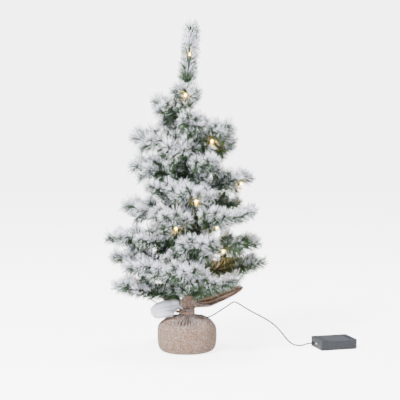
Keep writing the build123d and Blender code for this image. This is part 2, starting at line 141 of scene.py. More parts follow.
class LightSettings(bpy.types.PropertyGroup):
    glow: bpy.props.FloatVectorProperty(
        name="Glow", description="Colour of a lit lens", default=(1.0, 0.50, 0.12), subtype="COLOR"
    )
    strength: bpy.props.FloatProperty(name="Strength", description="Brightness of a lit lens", default=22.0)
    spill: bpy.props.FloatProperty(
        name="Spill", description="Power of the warm light that falls on the needles", default=0.065
    )


class SackSettings(bpy.types.PropertyGroup):
    side: bpy.props.FloatProperty(
        name="Cloth side", description="Side of the square that the sack is cut from", default=0.34,
        unit="LENGTH"
    )
    thread_pitch: bpy.props.FloatProperty(
        name="Thread pitch", description="Distance between the jute's threads", default=0.0016, unit="LENGTH"
    )
    jute: bpy.props.FloatVectorProperty(
        name="Jute", description="Colour of the jute's threads", default=(0.30, 0.180, 0.110), subtype="COLOR"
    )


class BoxSettings(bpy.types.PropertyGroup):
    shell: bpy.props.FloatVectorProperty(
        name="Shell", description="Colour of the battery box", default=(0.013, 0.015, 0.020), subtype="COLOR"
    )
    wire: bpy.props.FloatVectorProperty(
        name="Wire", description="Colour of the lead and the string", default=(0.012, 0.018, 0.012),
        subtype="COLOR"
    )


class StageSettings(bpy.types.PropertyGroup):
    camera_distance: bpy.props.FloatProperty(
        name="Camera distance", description="Distance in front of the trunk", default=2.18, unit="LENGTH"
    )
    camera_height: bpy.props.FloatProperty(
        name="Camera height", description="Height above the surface", default=0.45, unit="LENGTH"
    )
    camera_side: bpy.props.FloatProperty(
        name="Camera side", description="Distance to the right of the trunk", default=0.0241, unit="LENGTH"
    )
    camera_tilt: bpy.props.FloatProperty(
        name="Camera tilt", description="Angle below level", default=math.radians(4.53), subtype="ANGLE"
    )
    camera_lens: bpy.props.FloatProperty(
        name="Lens", description="Focal length on a 36 mm sensor", default=108.2, unit="CAMERA"
    )
    floor: bpy.props.FloatVectorProperty(
        name="Floor", description="Colour of the floor", default=(0.86, 0.86, 0.86), subtype="COLOR"
    )


# ---------------------------------------------------------------- surfaces
class Patch(NamedTuple):
    """Part of a mesh: points, arrays of faces, its material's place in the list, and values at each point."""

    points: np.ndarray
    faces: list
    material: int
    values: dict


def unit(vectors):
    """Each vector over its own length."""
    return vectors / np.linalg.norm(vectors, axis=-1, keepdims=True)


def grid_faces(rows, columns):
    """Quads of a grid whose point number is row times columns plus column, joined round."""
    row, column = np.meshgrid(np.arange(rows - 1), np.arange(columns), indexing="ij")
    after = (column + 1) % columns
    low, high = row * columns, (row + 1) * columns
    quads = np.stack([low + column, low + after, high + after, high + column], axis=-1)
    return quads.reshape(-1, 4)


def make_piece(name, patches, materials, body, uv=None):
    """Joins patches into one mesh at the origin, gives it its materials and rides it on a body."""
    counts = np.cumsum([0] + [len(patch.points) for patch in patches])
    blocks = [
        (faces + start, patch.material)
        for patch, start in zip(patches, counts)
        for faces in patch.faces
    ]
    corners = np.concatenate([faces.ravel() for faces, _ in blocks]).astype(np.int32)
    sizes = np.concatenate([np.full(len(faces), faces.shape[1]) for faces, _ in blocks]).astype(np.int32)
    chosen = np.concatenate([np.full(len(faces), material) for faces, material in blocks]).astype(np.int32)
    mesh = bpy.data.meshes.new(name)
    mesh.vertices.add(int(counts[-1]))
    points = np.concatenate([patch.points for patch in patches])
    mesh.vertices.foreach_set("co", points.astype(np.float32).ravel())
    mesh.loops.add(len(corners))
    mesh.loops.foreach_set("vertex_index", corners)
    mesh.polygons.add(len(sizes))
    mesh.polygons.foreach_set("loop_start", np.concatenate([[0], np.cumsum(sizes)[:-1]]).astype(np.int32))
    mesh.polygons.foreach_set("material_index", chosen)
    mesh.polygons.foreach_set("use_smooth", np.full(len(sizes), True))
    for key in sorted({key for patch in patches for key in patch.values}):
        column = np.concatenate([patch.values.get(key, np.zeros(len(patch.points))) for patch in patches])
        attribute = mesh.attributes.new(key, "FLOAT", "POINT")
        attribute.data.foreach_set("value", column.astype(np.float32))
    if uv is not None:
        layer = mesh.uv_layers.new(name="flat")
        layer.data.foreach_set("uv", uv[corners].astype(np.float32).ravel())
    mesh.update(calc_edges=True)
    mesh.validate()
    for material in materials:
        mesh.materials.append(material)
    piece = bpy.data.objects.new(name, mesh)
    bpy.context.scene.collection.objects.link(piece)
    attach(piece, body)
    return piece


def tube_patch(path, radius, sides, across, material, values=None, lobes=0, lobe_depth=0.0, twist=0.0):
    """A closed tube: at each point of a path, a circle that swells lobes times round and turns as it goes."""
    path = np.asarray(path, float)
    along = unit(np.gradient(path, axis=0))
    side = unit(np.cross(along, across))
    other = np.cross(along, side)
    run = np.concatenate([[0], np.cumsum(np.linalg.norm(np.diff(path, axis=0), axis=1))])
    angle = np.linspace(0, 2 * math.pi, sides, endpoint=False)[None, :]
    radii = np.broadcast_to(np.asarray(radius, float).reshape(-1, 1), (len(path), 1))
    swell = radii * (1 + lobe_depth * np.cos(lobes * (angle - twist * run[:, None])))
    points = path[:, None] + swell[..., None] * (
        np.cos(angle)[..., None] * other[:, None] + np.sin(angle)[..., None] * side[:, None]
    )
    count = len(path)
    ends = np.stack([path[0], path[-1]])
    ring = np.arange(sides)
    first_cap = np.stack([np.full(sides, count * sides), (ring + 1) % sides, ring], axis=1)
    top = (count - 1) * sides
    last_cap = np.stack([np.full(sides, count * sides + 1), top + ring, top + (ring + 1) % sides], axis=1)
    all_points = np.concatenate([points.reshape(-1, 3), ends])
    filled = {key: np.full(len(all_points), value) for key, value in (values or {}).items()}
    return Patch(all_points, [grid_faces(count, sides), first_cap, last_cap], material, filled)


def lathe_patch(profile, centre, axis, sides, material):
    """A profile of distances along an axis and radii, turned about it, closed where the radius is 0."""
    profile = np.asarray(profile, float)
    axis = unit(np.asarray(axis, float))
    side = unit(np.cross(axis, UP + np.array([0.3, 0.1, 0.0])))
    other = np.cross(axis, side)
    angle = np.linspace(0, 2 * math.pi, sides, endpoint=False)[None, :, None]
    ring = np.cos(angle) * side + np.sin(angle) * other
    points = np.asarray(centre) + profile[:, 0, None, None] * axis + profile[:, 1, None, None] * ring
    return Patch(points.reshape(-1, 3), [grid_faces(len(profile), sides)], material, {})


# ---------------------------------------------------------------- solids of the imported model
class Bar(NamedTuple):
    """One straight round solid of a node: its two ends, the one nearer the trunk first, and its radius."""

    start: np.ndarray
    end: np.ndarray
    radius: float


def node_mesh(node):
    """A node's points, with equal ones merged, and its triangles."""
    mesh = frame["nodes"][node].data
    mesh.calc_loop_triangles()
    points = np.zeros(len(mesh.vertices) * 3, np.float32)
    mesh.vertices.foreach_get("co", points)
    triangles = np.zeros(len(mesh.loop_triangles) * 3, np.int32)
    mesh.loop_triangles.foreach_get("vertices", triangles)
    keys, merged = np.unique(np.round(points.reshape(-1, 3), 6), axis=0, return_inverse=True)
    return keys.astype(float), merged.ravel()[triangles].reshape(-1, 3)


def node_bars(node, near):
    """Each separate solid of a node as a bar: points take their triangles' lowest label, over and over."""
    points, triangles = node_mesh(node)
    label = np.arange(len(points))
    while True:
        lowest = label[triangles].min(axis=1)
        spread = label.copy()
        for corner in range(3):
            np.minimum.at(spread, triangles[:, corner], lowest)
        spread = spread[spread]
        if np.array_equal(spread, label):
            break
        label = spread
    bars = []
    for value in np.unique(label):
        solid = points[label == value]
        middle = (solid.min(axis=0) + solid.max(axis=0)) / 2
        direction = np.linalg.svd(solid - middle, full_matrices=False)[2][0]
        reach = (solid - middle) @ direction
        ends = [middle + direction * reach.min(), middle + direction * reach.max()]
        across = np.linalg.norm(solid - middle - reach[:, None] * direction, axis=1)
        ends.sort(key=lambda end: np.linalg.norm(end - near))
        bars.append(Bar(ends[0], ends[1], float(across.max())))
    return bars


# ---------------------------------------------------------------- materials
def new_material(name, roughness=0.6, metallic=0.0):
    """A material with its Principled BSDF, whose uniform values are set on its own sockets."""
    material = bpy.data.materials.new(name)
    material.use_nodes = True
    shader = material.node_tree.nodes["Principled BSDF"]
    shader.inputs["Roughness"].default_value = roughness
    shader.inputs["Metallic"].default_value = metallic
    return material, material.node_tree, shader


def add_node(tree, kind, inputs=None, **settings):
    """A node with its settings, and its inputs set or linked by name or number."""
    node = tree.nodes.new(kind)
    for key, value in settings.items():
        setattr(node, key, value)
    for key, value in (inputs or {}).items():
        if isinstance(value, bpy.types.NodeSocket):
            tree.links.new(value, node.inputs[key])
        else:
            node.inputs[key].default_value = value
    return node


def mix_colours(tree, share, first, second, blend="MIX"):
    """The colour between two colours by a share."""
    node = add_node(tree, "ShaderNodeMix", data_type="RGBA", blend_type=blend)
    for socket, value in ((node.inputs[0], share), (node.inputs[6], first), (node.inputs[7], second)):
        if isinstance(value, bpy.types.NodeSocket):
            tree.links.new(value, socket)
        else:
            socket.default_value = (*value, 1.0) if hasattr(value, "__len__") and len(value) == 3 else value
    return node.outputs[2]


def shades(tree, share, colour, dark, light):
    """A colour times a factor that goes from dark to light by a share."""
    colour = np.array(colour)
    return mix_colours(tree, share, tuple(colour * dark), tuple(colour * light))


def math_node(tree, operation, *values):
    """One operation on one to three numbers or sockets."""
    return add_node(tree, "ShaderNodeMath", dict(enumerate(values)), operation=operation).outputs[0]


def share_between(tree, value, low, high, **settings):
    """How far a value is from low to high, kept from 0 to 1."""
    return add_node(tree, "ShaderNodeMapRange", {0: value, 1: low, 2: high}, **settings).outputs[0]


def attribute(tree, name):
    return add_node(tree, "ShaderNodeAttribute", attribute_name=name).outputs["Fac"]


def object_coordinates(tree):
    return add_node(tree, "ShaderNodeTexCoord").outputs["Object"]


def noise(tree, scale, detail=3.0, roughness=0.55, vector=None):
    """Noise from 0 to 1 in object coordinates, or in a given vector."""
    place = vector or object_coordinates(tree)
    inputs = {"Vector": place, "Scale": scale, "Detail": detail, "Roughness": roughness}
    return add_node(tree, "ShaderNodeTexNoise", inputs).outputs["Fac"]


def finish_surface(tree, shader, colour, height, depth):
    """Links a surface's colour, and its relief, which is a height from 0 to 1 times a depth."""
    tree.links.new(colour, shader.inputs["Base Color"])
    relief = add_node(tree, "ShaderNodeBump", {"Height": height, "Distance": depth, "Strength": 1.0})
    tree.links.new(relief.outputs["Normal"], shader.inputs["Normal"])


def new_group(name, sockets):
    """An empty node group with its sockets, and its input and output nodes."""
    tree = bpy.data.node_groups.new(name, "ShaderNodeTree")
    for label, direction, kind in sockets:
        tree.interface.new_socket(label, in_out=direction, socket_type=f"NodeSocket{kind}")
    return tree, tree.nodes.new("NodeGroupInput"), tree.nodes.new("NodeGroupOutput")


def flock_group():
    """Node group: flock over a colour. A cover value, broken up by fine noise, whitens and raises it."""
    name = "Flock cover"
    if name in bpy.data.node_groups:
        return bpy.data.node_groups[name]
    sockets = (
        ("Under", "INPUT", "Color"),
        ("Flock", "INPUT", "Color"),
        ("Cover", "INPUT", "Float"),
        ("Grain", "INPUT", "Float"),
        ("Color", "OUTPUT", "Color"),
        ("Mask", "OUTPUT", "Float"),
        ("Height", "OUTPUT", "Float"),
    )
    tree, source, result = new_group(name, sockets)
    grains = noise(tree, 1.0, 4.0, 0.65)
    tree.links.new(source.outputs["Grain"], grains.node.inputs["Scale"])
    spread = math_node(tree, "MULTIPLY", math_node(tree, "SUBTRACT", grains, 0.5), 1.6)
    cover = math_node(tree, "ADD", source.outputs["Cover"], spread)
    mask = share_between(tree, cover, 0.30, 0.62, interpolation_type="SMOOTHSTEP")
    shade = math_node(tree, "MULTIPLY_ADD", grains, 0.30, 0.84)
    flock = mix_colours(tree, 1.0, source.outputs["Flock"], shade, "MULTIPLY")
    colour = mix_colours(tree, mask, source.outputs["Under"], flock)
    height = math_node(tree, "MULTIPLY", mask, grains)
    tree.links.new(colour, result.inputs["Color"])
    tree.links.new(mask, result.inputs["Mask"])
    tree.links.new(height, result.inputs["Height"])
    return tree


def flocked(tree, under, cover, grain):
    """The flock group placed over a colour with its own cover and grain."""
    white = bpy.context.scene.fir_foliage.white
    group = add_node(tree, "ShaderNodeGroup", node_tree=flock_group())
    for key, value in (("Under", under), ("Cover", cover)):
        if isinstance(value, bpy.types.NodeSocket):
            tree.links.new(value, group.inputs[key])
        else:
            group.inputs[key].default_value = (*value, 1.0) if key == "Under" else value
    group.inputs["Flock"].default_value = (*white, 1.0)
    group.inputs["Grain"].default_value = grain
    return group


def needle_material():
    """Cut film needles: a green that varies from needle to needle, under flock where snow is high."""
    material, tree, shader = new_material("flocked_needles", roughness=0.62)
    under = shades(tree, attribute(tree, "tone"), bpy.context.scene.fir_foliage.green, 0.45, 1.55)
    group = flocked(tree, under, attribute(tree, "snow"), 900.0)
    rough = math_node(tree, "MULTIPLY_ADD", group.outputs["Mask"], 0.40, 0.5)
    tree.links.new(rough, shader.inputs["Roughness"])
    finish_surface(tree, shader, group.outputs["Color"], group.outputs["Height"], 0.0004)
    return material


def stem_material():
    """Twisted stem wire: dull brown green with some flock dust."""
    material, tree, shader = new_material("stem_wire", roughness=0.7)
    under = mix_colours(tree, noise(tree, 260.0), (0.050, 0.042, 0.026), (0.085, 0.090, 0.048))
    group = flocked(tree, under, attribute(tree, "snow"), 700.0)
    finish_surface(tree, shader, group.outputs["Color"], group.outputs["Height"], 0.0003)
    return material


def bark_tape_material():
    """Wound tape: turns that climb the trunk, painted shade along each overlap line, and fine crepe."""
    material, tree, shader = new_material("bark_tape", roughness=0.85)
    place = add_node(tree, "ShaderNodeSeparateXYZ", {0: object_coordinates(tree)})
    around = math_node(tree, "ARCTAN2", place.outputs[1], place.outputs[0])
    climb = math_node(tree, "MULTIPLY", place.outputs[2], 110.0)
    turns = math_node(tree, "MULTIPLY_ADD", around, 1 / (2 * math.pi), climb)
    crepe = noise(tree, 1400.0, 2.0)
    edge = share_between(tree, math_node(tree, "FRACT", turns), 0.0, 0.14)
    base = mix_colours(tree, noise(tree, 90.0), (0.075, 0.055, 0.032), (0.062, 0.075, 0.040))
    # Painted shade: each turn is darkest at the foot of the lap's step and lightens over a seventh of the
    # turn.
    shaded = mix_colours(tree, edge, (0.020, 0.016, 0.010), base)
    height = math_node(tree, "MULTIPLY_ADD", crepe, 0.35, edge)
    finish_surface(tree, shader, shaded, height, 0.0005)
    return material


def wire_material():
    """Soft extruded insulation with faint dust."""
    material, tree, shader = new_material("wire_insulation", roughness=0.42)
    colour = shades(tree, noise(tree, 320.0), bpy.context.scene.fir_box.wire, 0.8, 1.35)
    finish_surface(tree, shader, colour, noise(tree, 2500.0, 1.0), 0.00005)
    return material


def weave_group():
    """Node group: a plain weave. The threads are the waves of a UV map in metres, over and under in turn."""
    name = "Plain weave"
    if name in bpy.data.node_groups:
        return bpy.data.node_groups[name]
    sockets = (
        ("Pitch", "INPUT", "Float"),
        ("Height", "OUTPUT", "Float"),
        ("Gap shade", "OUTPUT", "Float"),
        ("Thread", "OUTPUT", "Float"),
    )
    tree, source, result = new_group(name, sockets)
    flat = add_node(tree, "ShaderNodeUVMap", uv_map="flat").outputs[0]
    wander = noise(tree, 70.0, 2.0, 0.5, flat)
    place = add_node(tree, "ShaderNodeSeparateXYZ", {0: flat})
    waves = []
    for axis in (0, 1):
        shifted = math_node(tree, "MULTIPLY_ADD", wander, 0.004, place.outputs[axis])
        counted = math_node(tree, "DIVIDE", shifted, source.outputs["Pitch"])
        waves.append(math_node(tree, "SINE", math_node(tree, "MULTIPLY", counted, math.pi)))
    warp, weft = (math_node(tree, "ABSOLUTE", wave) for wave in waves)
    crossing = math_node(tree, "GREATER_THAN", math_node(tree, "MULTIPLY", *waves), 0.0)
    over = math_node(tree, "MULTIPLY", warp, crossing)
    under = math_node(tree, "MULTIPLY", weft, math_node(tree, "SUBTRACT", 1.0, crossing))
    top = math_node(tree, "ADD", over, under)
    either = math_node(tree, "MAXIMUM", warp, weft)
    height = math_node(tree, "MAXIMUM", top, math_node(tree, "MULTIPLY", either, 0.45))
    # Where neither thread lies: the mask that the jute darkens as painted shade.
    gap_shade = share_between(tree, either, 0.62, 0.30)
    tree.links.new(height, result.inputs["Height"])
    tree.links.new(gap_shade, result.inputs["Gap shade"])
    tree.links.new(noise(tree, 420.0, 3.0, 0.7, flat), result.inputs["Thread"])
    return tree


def jute_material(name="jute_cloth", woven=True, pale=1.0):
    """Jute: coarse threads that vary in tone, painted shade in the gaps between them, and flock dust where
    snow lands.
    """
    material, tree, shader = new_material(name, roughness=0.92)
    settings = bpy.context.scene.fir_sack
    jute = np.array(settings.jute) * pale
    cloud = noise(tree, 260.0, 4.0, 0.7)
    patches = share_between(tree, cloud, 0.34, 0.66)
    tone = shades(tree, patches, jute, (0.58, 0.52, 0.48), (1.30, 1.27, 1.27))
    if woven:
        pitch = {"Pitch": settings.thread_pitch}
        weave = add_node(tree, "ShaderNodeGroup", pitch, node_tree=weave_group())
        fine, height = weave.outputs["Thread"], weave.outputs["Height"]
        # Painted shade: the gaps between the threads are darkened towards 0.22 of the jute's colour.
        gap_shade = math_node(tree, "MULTIPLY", weave.outputs["Gap shade"], 0.75)
        tone = mix_colours(tree, gap_shade, tone, tuple(jute * 0.22))
    else:
        fine = noise(tree, 900.0, 3.0)
        height = fine
    light = mix_colours(tree, fine, (0.70, 0.67, 0.64), (1.18, 1.18, 1.18))
    tone = mix_colours(tree, 1.0, tone, light, "MULTIPLY")
    group = flocked(tree, tone, attribute(tree, "snow"), 620.0)
    shader.inputs["Sheen Weight"].default_value = 0.25
    raised = math_node(tree, "MULTIPLY_ADD", group.outputs["Mask"], 0.35, height)
    finish_surface(tree, shader, group.outputs["Color"], raised, 0.0007)
    return material


def lens_material():
    """A lit lens: clear warm plastic that glows, its colour paler in patches of noise."""
    settings = bpy.context.scene.fir_light
    material, tree, shader = new_material("lit_lens", roughness=0.18)
    glow = np.array(settings.glow)
    colour = mix_colours(tree, noise(tree, 500.0, 1.0), tuple(glow), tuple(np.minimum(glow * 1.5, 1.0)))
    tree.links.new(colour, shader.inputs["Base Color"])
    tree.links.new(colour, shader.inputs["Emission Color"])
    shader.inputs["Emission Strength"].default_value = settings.strength
    return material


def moulded_material(name, colour, roughness, grain, depth):
    """Moulded plastic or rubber: a fine even grain, slightly paler where the mould was rough."""
    material, tree, shader = new_material(name, roughness=roughness)
    colour = np.array(colour)
    speckle = noise(tree, grain, 2.0, 0.6)
    cloud = noise(tree, 45.0, 2.0)
    base = shades(tree, cloud, colour, 0.90, 1.14)
    base = mix_colours(tree, math_node(tree, "MULTIPLY", speckle, 0.35), base, tuple(colour * 1.5))
    rough = math_node(tree, "MULTIPLY_ADD", speckle, 0.18, roughness - 0.09)
    tree.links.new(rough, shader.inputs["Roughness"])
    finish_surface(tree, shader, base, speckle, depth)
    return material


def metal_material(name, colour, roughness):
    """Drawn or plated metal with faint streaks."""
    material, tree, shader = new_material(name, roughness=roughness, metallic=1.0)
    streaks = noise(tree, 700.0, 2.0)
    finish_surface(tree, shader, shades(tree, streaks, colour, 0.88, 1.0), streaks, 0.00003)
    return material


def cement_material():
    """Cast cement: grey clouds, sand, and painted shade in small pits."""
    material, tree, shader = new_material("cast_cement", roughness=0.93)
    clouds = mix_colours(tree, noise(tree, 26.0, 4.0), (0.30, 0.29, 0.27), (0.44, 0.43, 0.40))
    sand = noise(tree, 900.0, 2.0, 0.7)
    # Painted shade: dark spots stand for the shade inside small pits, which have no relief of their own.
    pit_shade = share_between(tree, noise(tree, 210.0, 2.0), 0.30, 0.38)
    speckled = mix_colours(tree, math_node(tree, "MULTIPLY", sand, 0.3), clouds, (0.60, 0.59, 0.56))
    base = mix_colours(tree, pit_shade, (0.15, 0.145, 0.135), speckled)
    finish_surface(tree, shader, base, math_node(tree, "MULTIPLY", sand, 0.3), 0.0004)
    return material


# ---------------------------------------------------------------- needles
GOLDEN_TURN = math.pi * (3 - math.sqrt(5))
STEM_BOW = 0.035
STEM_START = 0.004
SPRIG_START = 0.012
TIP_REACH = 0.001
LEADER_BACK = 0.003
TRUNK_BARE = 0.046
TRUNK_PAST = 0.004
STEM_WIRE = 0.0014
SPRIG_WIRE = 0.0010
LENS_MIDDLE = 0.003
# How far needles keep from a lens, and how far in front of it.
LENS_CLEAR = 0.0052
LENS_VIEW = 0.045
# A branch's solids that stand for needles have a radius above this one, and its bare wires are below it.
CORE_LEAST = 0.004
# The lowest branches, which have no filler tips that hang down into the sack's corners.
LOWEST = ("branch_01", "branch_02")


class Filler(NamedTuple):
    """A short side tip: its share of the way along the stem, its turn and lift in degrees, its length."""

    at: float
    turn: float
    lift: float
    length: float


FILLERS = (
    Filler(0.06, 62, 34, 0.036),
    Filler(0.08, -58, 40, 0.036),
    Filler(0.16, 8, 58, 0.034),
    Filler(0.14, -20, -42, 0.030),
    Filler(0.36, 44, 32, 0.038),
    Filler(0.46, -46, 26, 0.038),
    Filler(0.52, 24, -30, 0.032),
    Filler(0.66, -34, 18, 0.034),
)


class Spray(NamedTuple):
    """A wire to cover with needles: its ends, the level way across it, its flock and its needles' length."""

    start: np.ndarray
    end: np.ndarray
    across: np.ndarray
    flock: float
    length: float
    crowd: float


def stem_points(spray, share):
    """Points on a stem: a straight line that bows up by the square of its share of the way."""
    share = np.asarray(share, float)[:, None]
    run = spray.end - spray.start
    bow = np.linalg.norm(run) * STEM_BOW * (share * share - share)
    return spray.start + run * share + UP * bow


def patchy(rng, share, waves=4):
    """A smooth random line along a stem, about 0 on average: a few sines of random phase."""
    phases = rng.random(waves) * 2 * math.pi
    return sum(np.sin((number + 1.5) * 5.0 * share + phase) for number, phase in enumerate(phases)) / waves


def light_bars(node):
    """A light's lead, its lens and its holder, from the thinnest to the thickest."""
    hinge = np.array(JOINT_OF[BODY_OF[node]]["pos_m"])
    return sorted(node_bars(node, hinge), key=lambda bar: bar.radius)


def lens_places():
    """The middle of each lens, just past its holder's end."""
    places = []
    for node in LIGHTS:
        holder = light_bars(node)[-1]
        places.append(holder.end + unit(holder.end - holder.start) * LENS_MIDDLE)
    return np.array(places)


LENS_PLACES = lens_places()


def clear_of_lenses(base, tip):
    """True for needles that neither touch a lens nor hang close in front of it, where they are parted."""
    clear = np.ones(len(base), bool)
    for place in LENS_PLACES:
        for point in ((base + tip) / 2, tip):
            offset = point - place
            ahead = np.clip(offset[:, 1], -LENS_VIEW, 0)
            offset[:, 1] -= ahead
            clear &= np.linalg.norm(offset, axis=1) > LENS_CLEAR
    return clear


def needle_patch(rng, spray, material=0):
    """Needles round a stem.

    Each starts on the stem and leans forward from it by an angle that closes towards the tip. It is a
    three-sided blade of three rings, narrow at the base, wide along the middle and cut off blunt. Flock is
    thickest on blades that point up and those near the tip. It comes in patches along the stem, and some
    blades stay bare.
    """
    settings = bpy.context.scene.fir_foliage
    run = spray.end - spray.start
    reach = np.linalg.norm(run)
    count = max(12, int(reach * settings.needles_per_metre * spray.crowd))
    index = np.arange(count)
    share = np.clip((index + rng.random(count)) / count, 0, 1)
    axis = unit(run)
    across = unit(spray.across - axis * (spray.across @ axis))
    lift = np.cross(axis, across)
    turn = index * GOLDEN_TURN + rng.normal(0, 0.35, count)
    radial = np.cos(turn)[:, None] * across + np.sin(turn)[:, None] * lift
    close = np.clip((share - 0.86) / 0.14, 0, 1)
    lean = np.radians(54 - 8 * share - 20 * close**2 + rng.normal(0, 8.0, count))
    stray = rng.normal(0, 0.05, (count, 3))
    direction = unit(axis * np.cos(lean)[:, None] + radial * np.sin(lean)[:, None] + stray)
    length = spray.length * rng.uniform(0.80, 1.12, count) * (1 - 0.18 * close)
    base = stem_points(spray, share * (1 - 0.02)) + radial * 0.0007
    upward = radial[:, 2] * np.clip(np.linalg.norm(np.cross(axis, UP)), 0.45, 1)
    snow = 0.29 + 0.28 * upward + 0.50 * (share - 0.40) + 0.30 * patchy(rng, share)
    snow = np.clip((snow + rng.normal(0, 0.28, count)) * spray.flock, 0, 1)
    side = unit(np.cross(direction, rng.normal(0, 1, (count, 3))))
    other = np.cross(direction, side)
    width = settings.needle_width * (0.85 + 0.70 * snow)
    depth = settings.needle_width * (0.30 + 0.75 * snow)
    corner = np.radians([90, 210, 330])
    ring = (
        np.cos(corner)[None, :, None] * side[:, None] * width[:, None, None]
        + np.sin(corner)[None, :, None] * other[:, None] * depth[:, None, None]
    ) / 2
    bend = UP * (rng.normal(0.0, 0.0011, count))[:, None]
    low = base[:, None] + ring * 0.55
    middle = base[:, None] + (direction * (length * 0.50)[:, None] + bend)[:, None] + ring * 1.1
    blunt = base[:, None] + (direction * length[:, None] + bend * 2.6)[:, None] + ring * 0.75
    kept = clear_of_lenses(base, base + direction * length[:, None])
    points = np.concatenate([low, middle, blunt], axis=1)[kept]
    snow = snow[kept]
    count = len(snow)
    start = (np.arange(count) * 9)[:, None]
    corner_a = np.arange(3)
    corner_b = (corner_a + 1) % 3
    band = np.stack([corner_a, corner_b, corner_b + 3, corner_a + 3], axis=1)
    caps = np.array([[2, 1, 0], [6, 7, 8]])
    blocks = (band, band + 3, caps)
    faces = [(start[:, :, None] + block[None]).reshape(-1, block.shape[1]) for block in blocks]
    whiter = np.array([0.10] * 3 + [0.85] * 3 + [1.15] * 3)
    values = {
        "snow": np.clip(snow[:, None] * whiter, 0, 1).ravel(),
        "tone": np.repeat(rng.random(count), 9),
    }
    return Patch(points.reshape(-1, 3), faces, material, values)


def stem_patch(spray, radius, material=1):
    """Two wires twisted together: a tube with two lobes that turn along it."""
    share = np.linspace(0, 0.97, max(8, int(np.linalg.norm(spray.end - spray.start) / 0.0022)))
    path = stem_points(spray, share)
    values = {"snow": 0.25 * spray.flock, "tone": 0.5}
    return tube_patch(path, radius, 8, spray.across, material, values, lobes=2, lobe_depth=0.26, twist=420.0)


# How white each branch is, where it isn't the usual 1. Less flock bares a branch's green needles: partly
# thinner flock, partly painted shade on branches that stand in shadow.
FLOCK_AND_SHADE_OF = {
    "branch_02": 0.8,
    "branch_03": 0.8,
    "branch_05": 0.6,
    "branch_09": 0.55,
    "branch_10": 0.8,
    "branch_15": 0.45,
    "branch_24": 0.6,
}


def sprays_of(body):
    """The main wire and the sprigs of a branch, from its node's thick solids, and its short filler tips."""
    settings = bpy.context.scene.fir_foliage
    joint = JOINT_OF[body]
    hinge = np.array(joint["pos_m"])
    across = -np.array(joint["axis"], float)
    bars = node_bars(body, hinge)
    cores = sorted((bar for bar in bars if bar.radius > CORE_LEAST), key=lambda bar: -bar.radius)
    flock = settings.flock * FLOCK_AND_SHADE_OF.get(body, 1.0)
    main = cores[0]
    along = unit(main.end - hinge)
    lift = np.cross(along, across)
    length = settings.needle_length
    start, end = hinge + along * STEM_START, main.end + along * TIP_REACH
    sprays = [Spray(start, end, across, flock, length, 1.0)]
    for core in cores[1:]:
        direction = unit(core.end - core.start)
        start, end = core.start - direction * SPRIG_START, core.end + direction * TIP_REACH
        sprays.append(Spray(start, end, across, flock * 1.05, length * 0.92, 1.0))
    reach = np.linalg.norm(main.end - hinge)
    for filler in FILLERS:
        if filler.lift < 0 and body in LOWEST:
            continue
        turn, up = math.radians(filler.turn), math.radians(filler.lift)
        direction = (along * math.cos(turn) + across * math.sin(turn)) * math.cos(up) + lift * math.sin(up)
        start = hinge + along * filler.at * reach
        end = start + direction * min(filler.length, 0.5 * reach)
        sprays.append(Spray(start, end, across, flock * (0.7 + 0.4 * filler.at), length * 0.9, 0.9))
    return sprays


# ---------------------------------------------------------------- sack
# The line from the middle of the sack's underside to the top of its neck: radius and height.
SACK_LINE = (
    (0.0000, 0.0004),
    (0.0425, 0.0004),
    (0.0498, 0.0036),
    (0.0528, 0.0110),
    (0.0540, 0.0260),
    (0.0537, 0.0400),
    (0.0522, 0.0490),
    (0.0455, 0.0545),
    (0.0250, 0.0575),
    (0.0125, 0.0640),
    (0.0112, 0.0725),
    (0.0122, 0.0790),
)
PLEATS = 48
COLLAR = 0.008
GATHER_START = 0.098
FRAY_THREADS = 620
FRAY_LENGTH = 0.0055
CREASE_TURN = math.radians(214)
CORNER_POWER = 3.2
FLAT_TURN = math.radians(-4)
CLOTH_COLUMNS = 432
SACK_ROWS = 62
FLAP_ROWS = 28
NECK_CENTRE_Z = 0.0785
CLOTH_HALF = 0.00045


class Ear(NamedTuple):
    """A loose corner of the cloth: its way out of the neck, half width, flat length, folds and snow.

    reach and climb are how far out and up its middle line goes. droop bends it down by the square of the way,
    and roll turns its width up about that line, in degrees.
    """

    azimuth: float
    roll: float
    reach: float
    climb: float
    droop: float
    half_width: float
    tip_width: float
    cut: float
    folds: float
    depth: float
    snow: float


EARS = (
    Ear(-4, 72, 0.094, 0.047, 0.007, 0.0125, 0.0082, 0.092, 1.5, 0.0055, 0.06),
    Ear(150, 96, 0.062, 0.040, 0.002, 0.0120, 0.0100, 0.060, 1.5, 0.0060, 0.03),
    Ear(203, 118, 0.060, 0.016, 0.022, 0.0150, 0.0135, 0.060, 1.5, 0.0055, 0.78),
    Ear(284, 0, 0.014, 0.026, 0.000, 0.0170, 0.0120, 0.040, 2.5, 0.0065, 0.10),
)


def flat_edge(angle, neck_run):
    """Distance from the sack's middle to the edge of the flat cloth, whose four sides are scooped in.

    It is the gathered part and a collar, and at each quarter turn a corner, which narrows by a power of the
    angle.
    """
    edge = np.full(np.shape(angle), neck_run + COLLAR)
    for quarter, ear in enumerate(EARS):
        local = (angle - quarter * math.pi / 2 + math.pi) % (2 * math.pi) - math.pi
        edge = edge + (ear.cut - COLLAR) * np.clip(1 - np.abs(local) / (math.pi / 4), 0, 1) ** CORNER_POWER
    return edge


def gathered_angle(flat_angle, share):
    """Where a flat angle goes on the sack: the corners turn towards their ears as share goes from 0 to 1."""
    known = np.radians([0, 90, 180, 270, 360])
    turned = np.radians([0, 148, 208, 288, 360])
    return flat_angle * (1 - share) + np.interp(flat_angle, known, turned) * share + FLAT_TURN


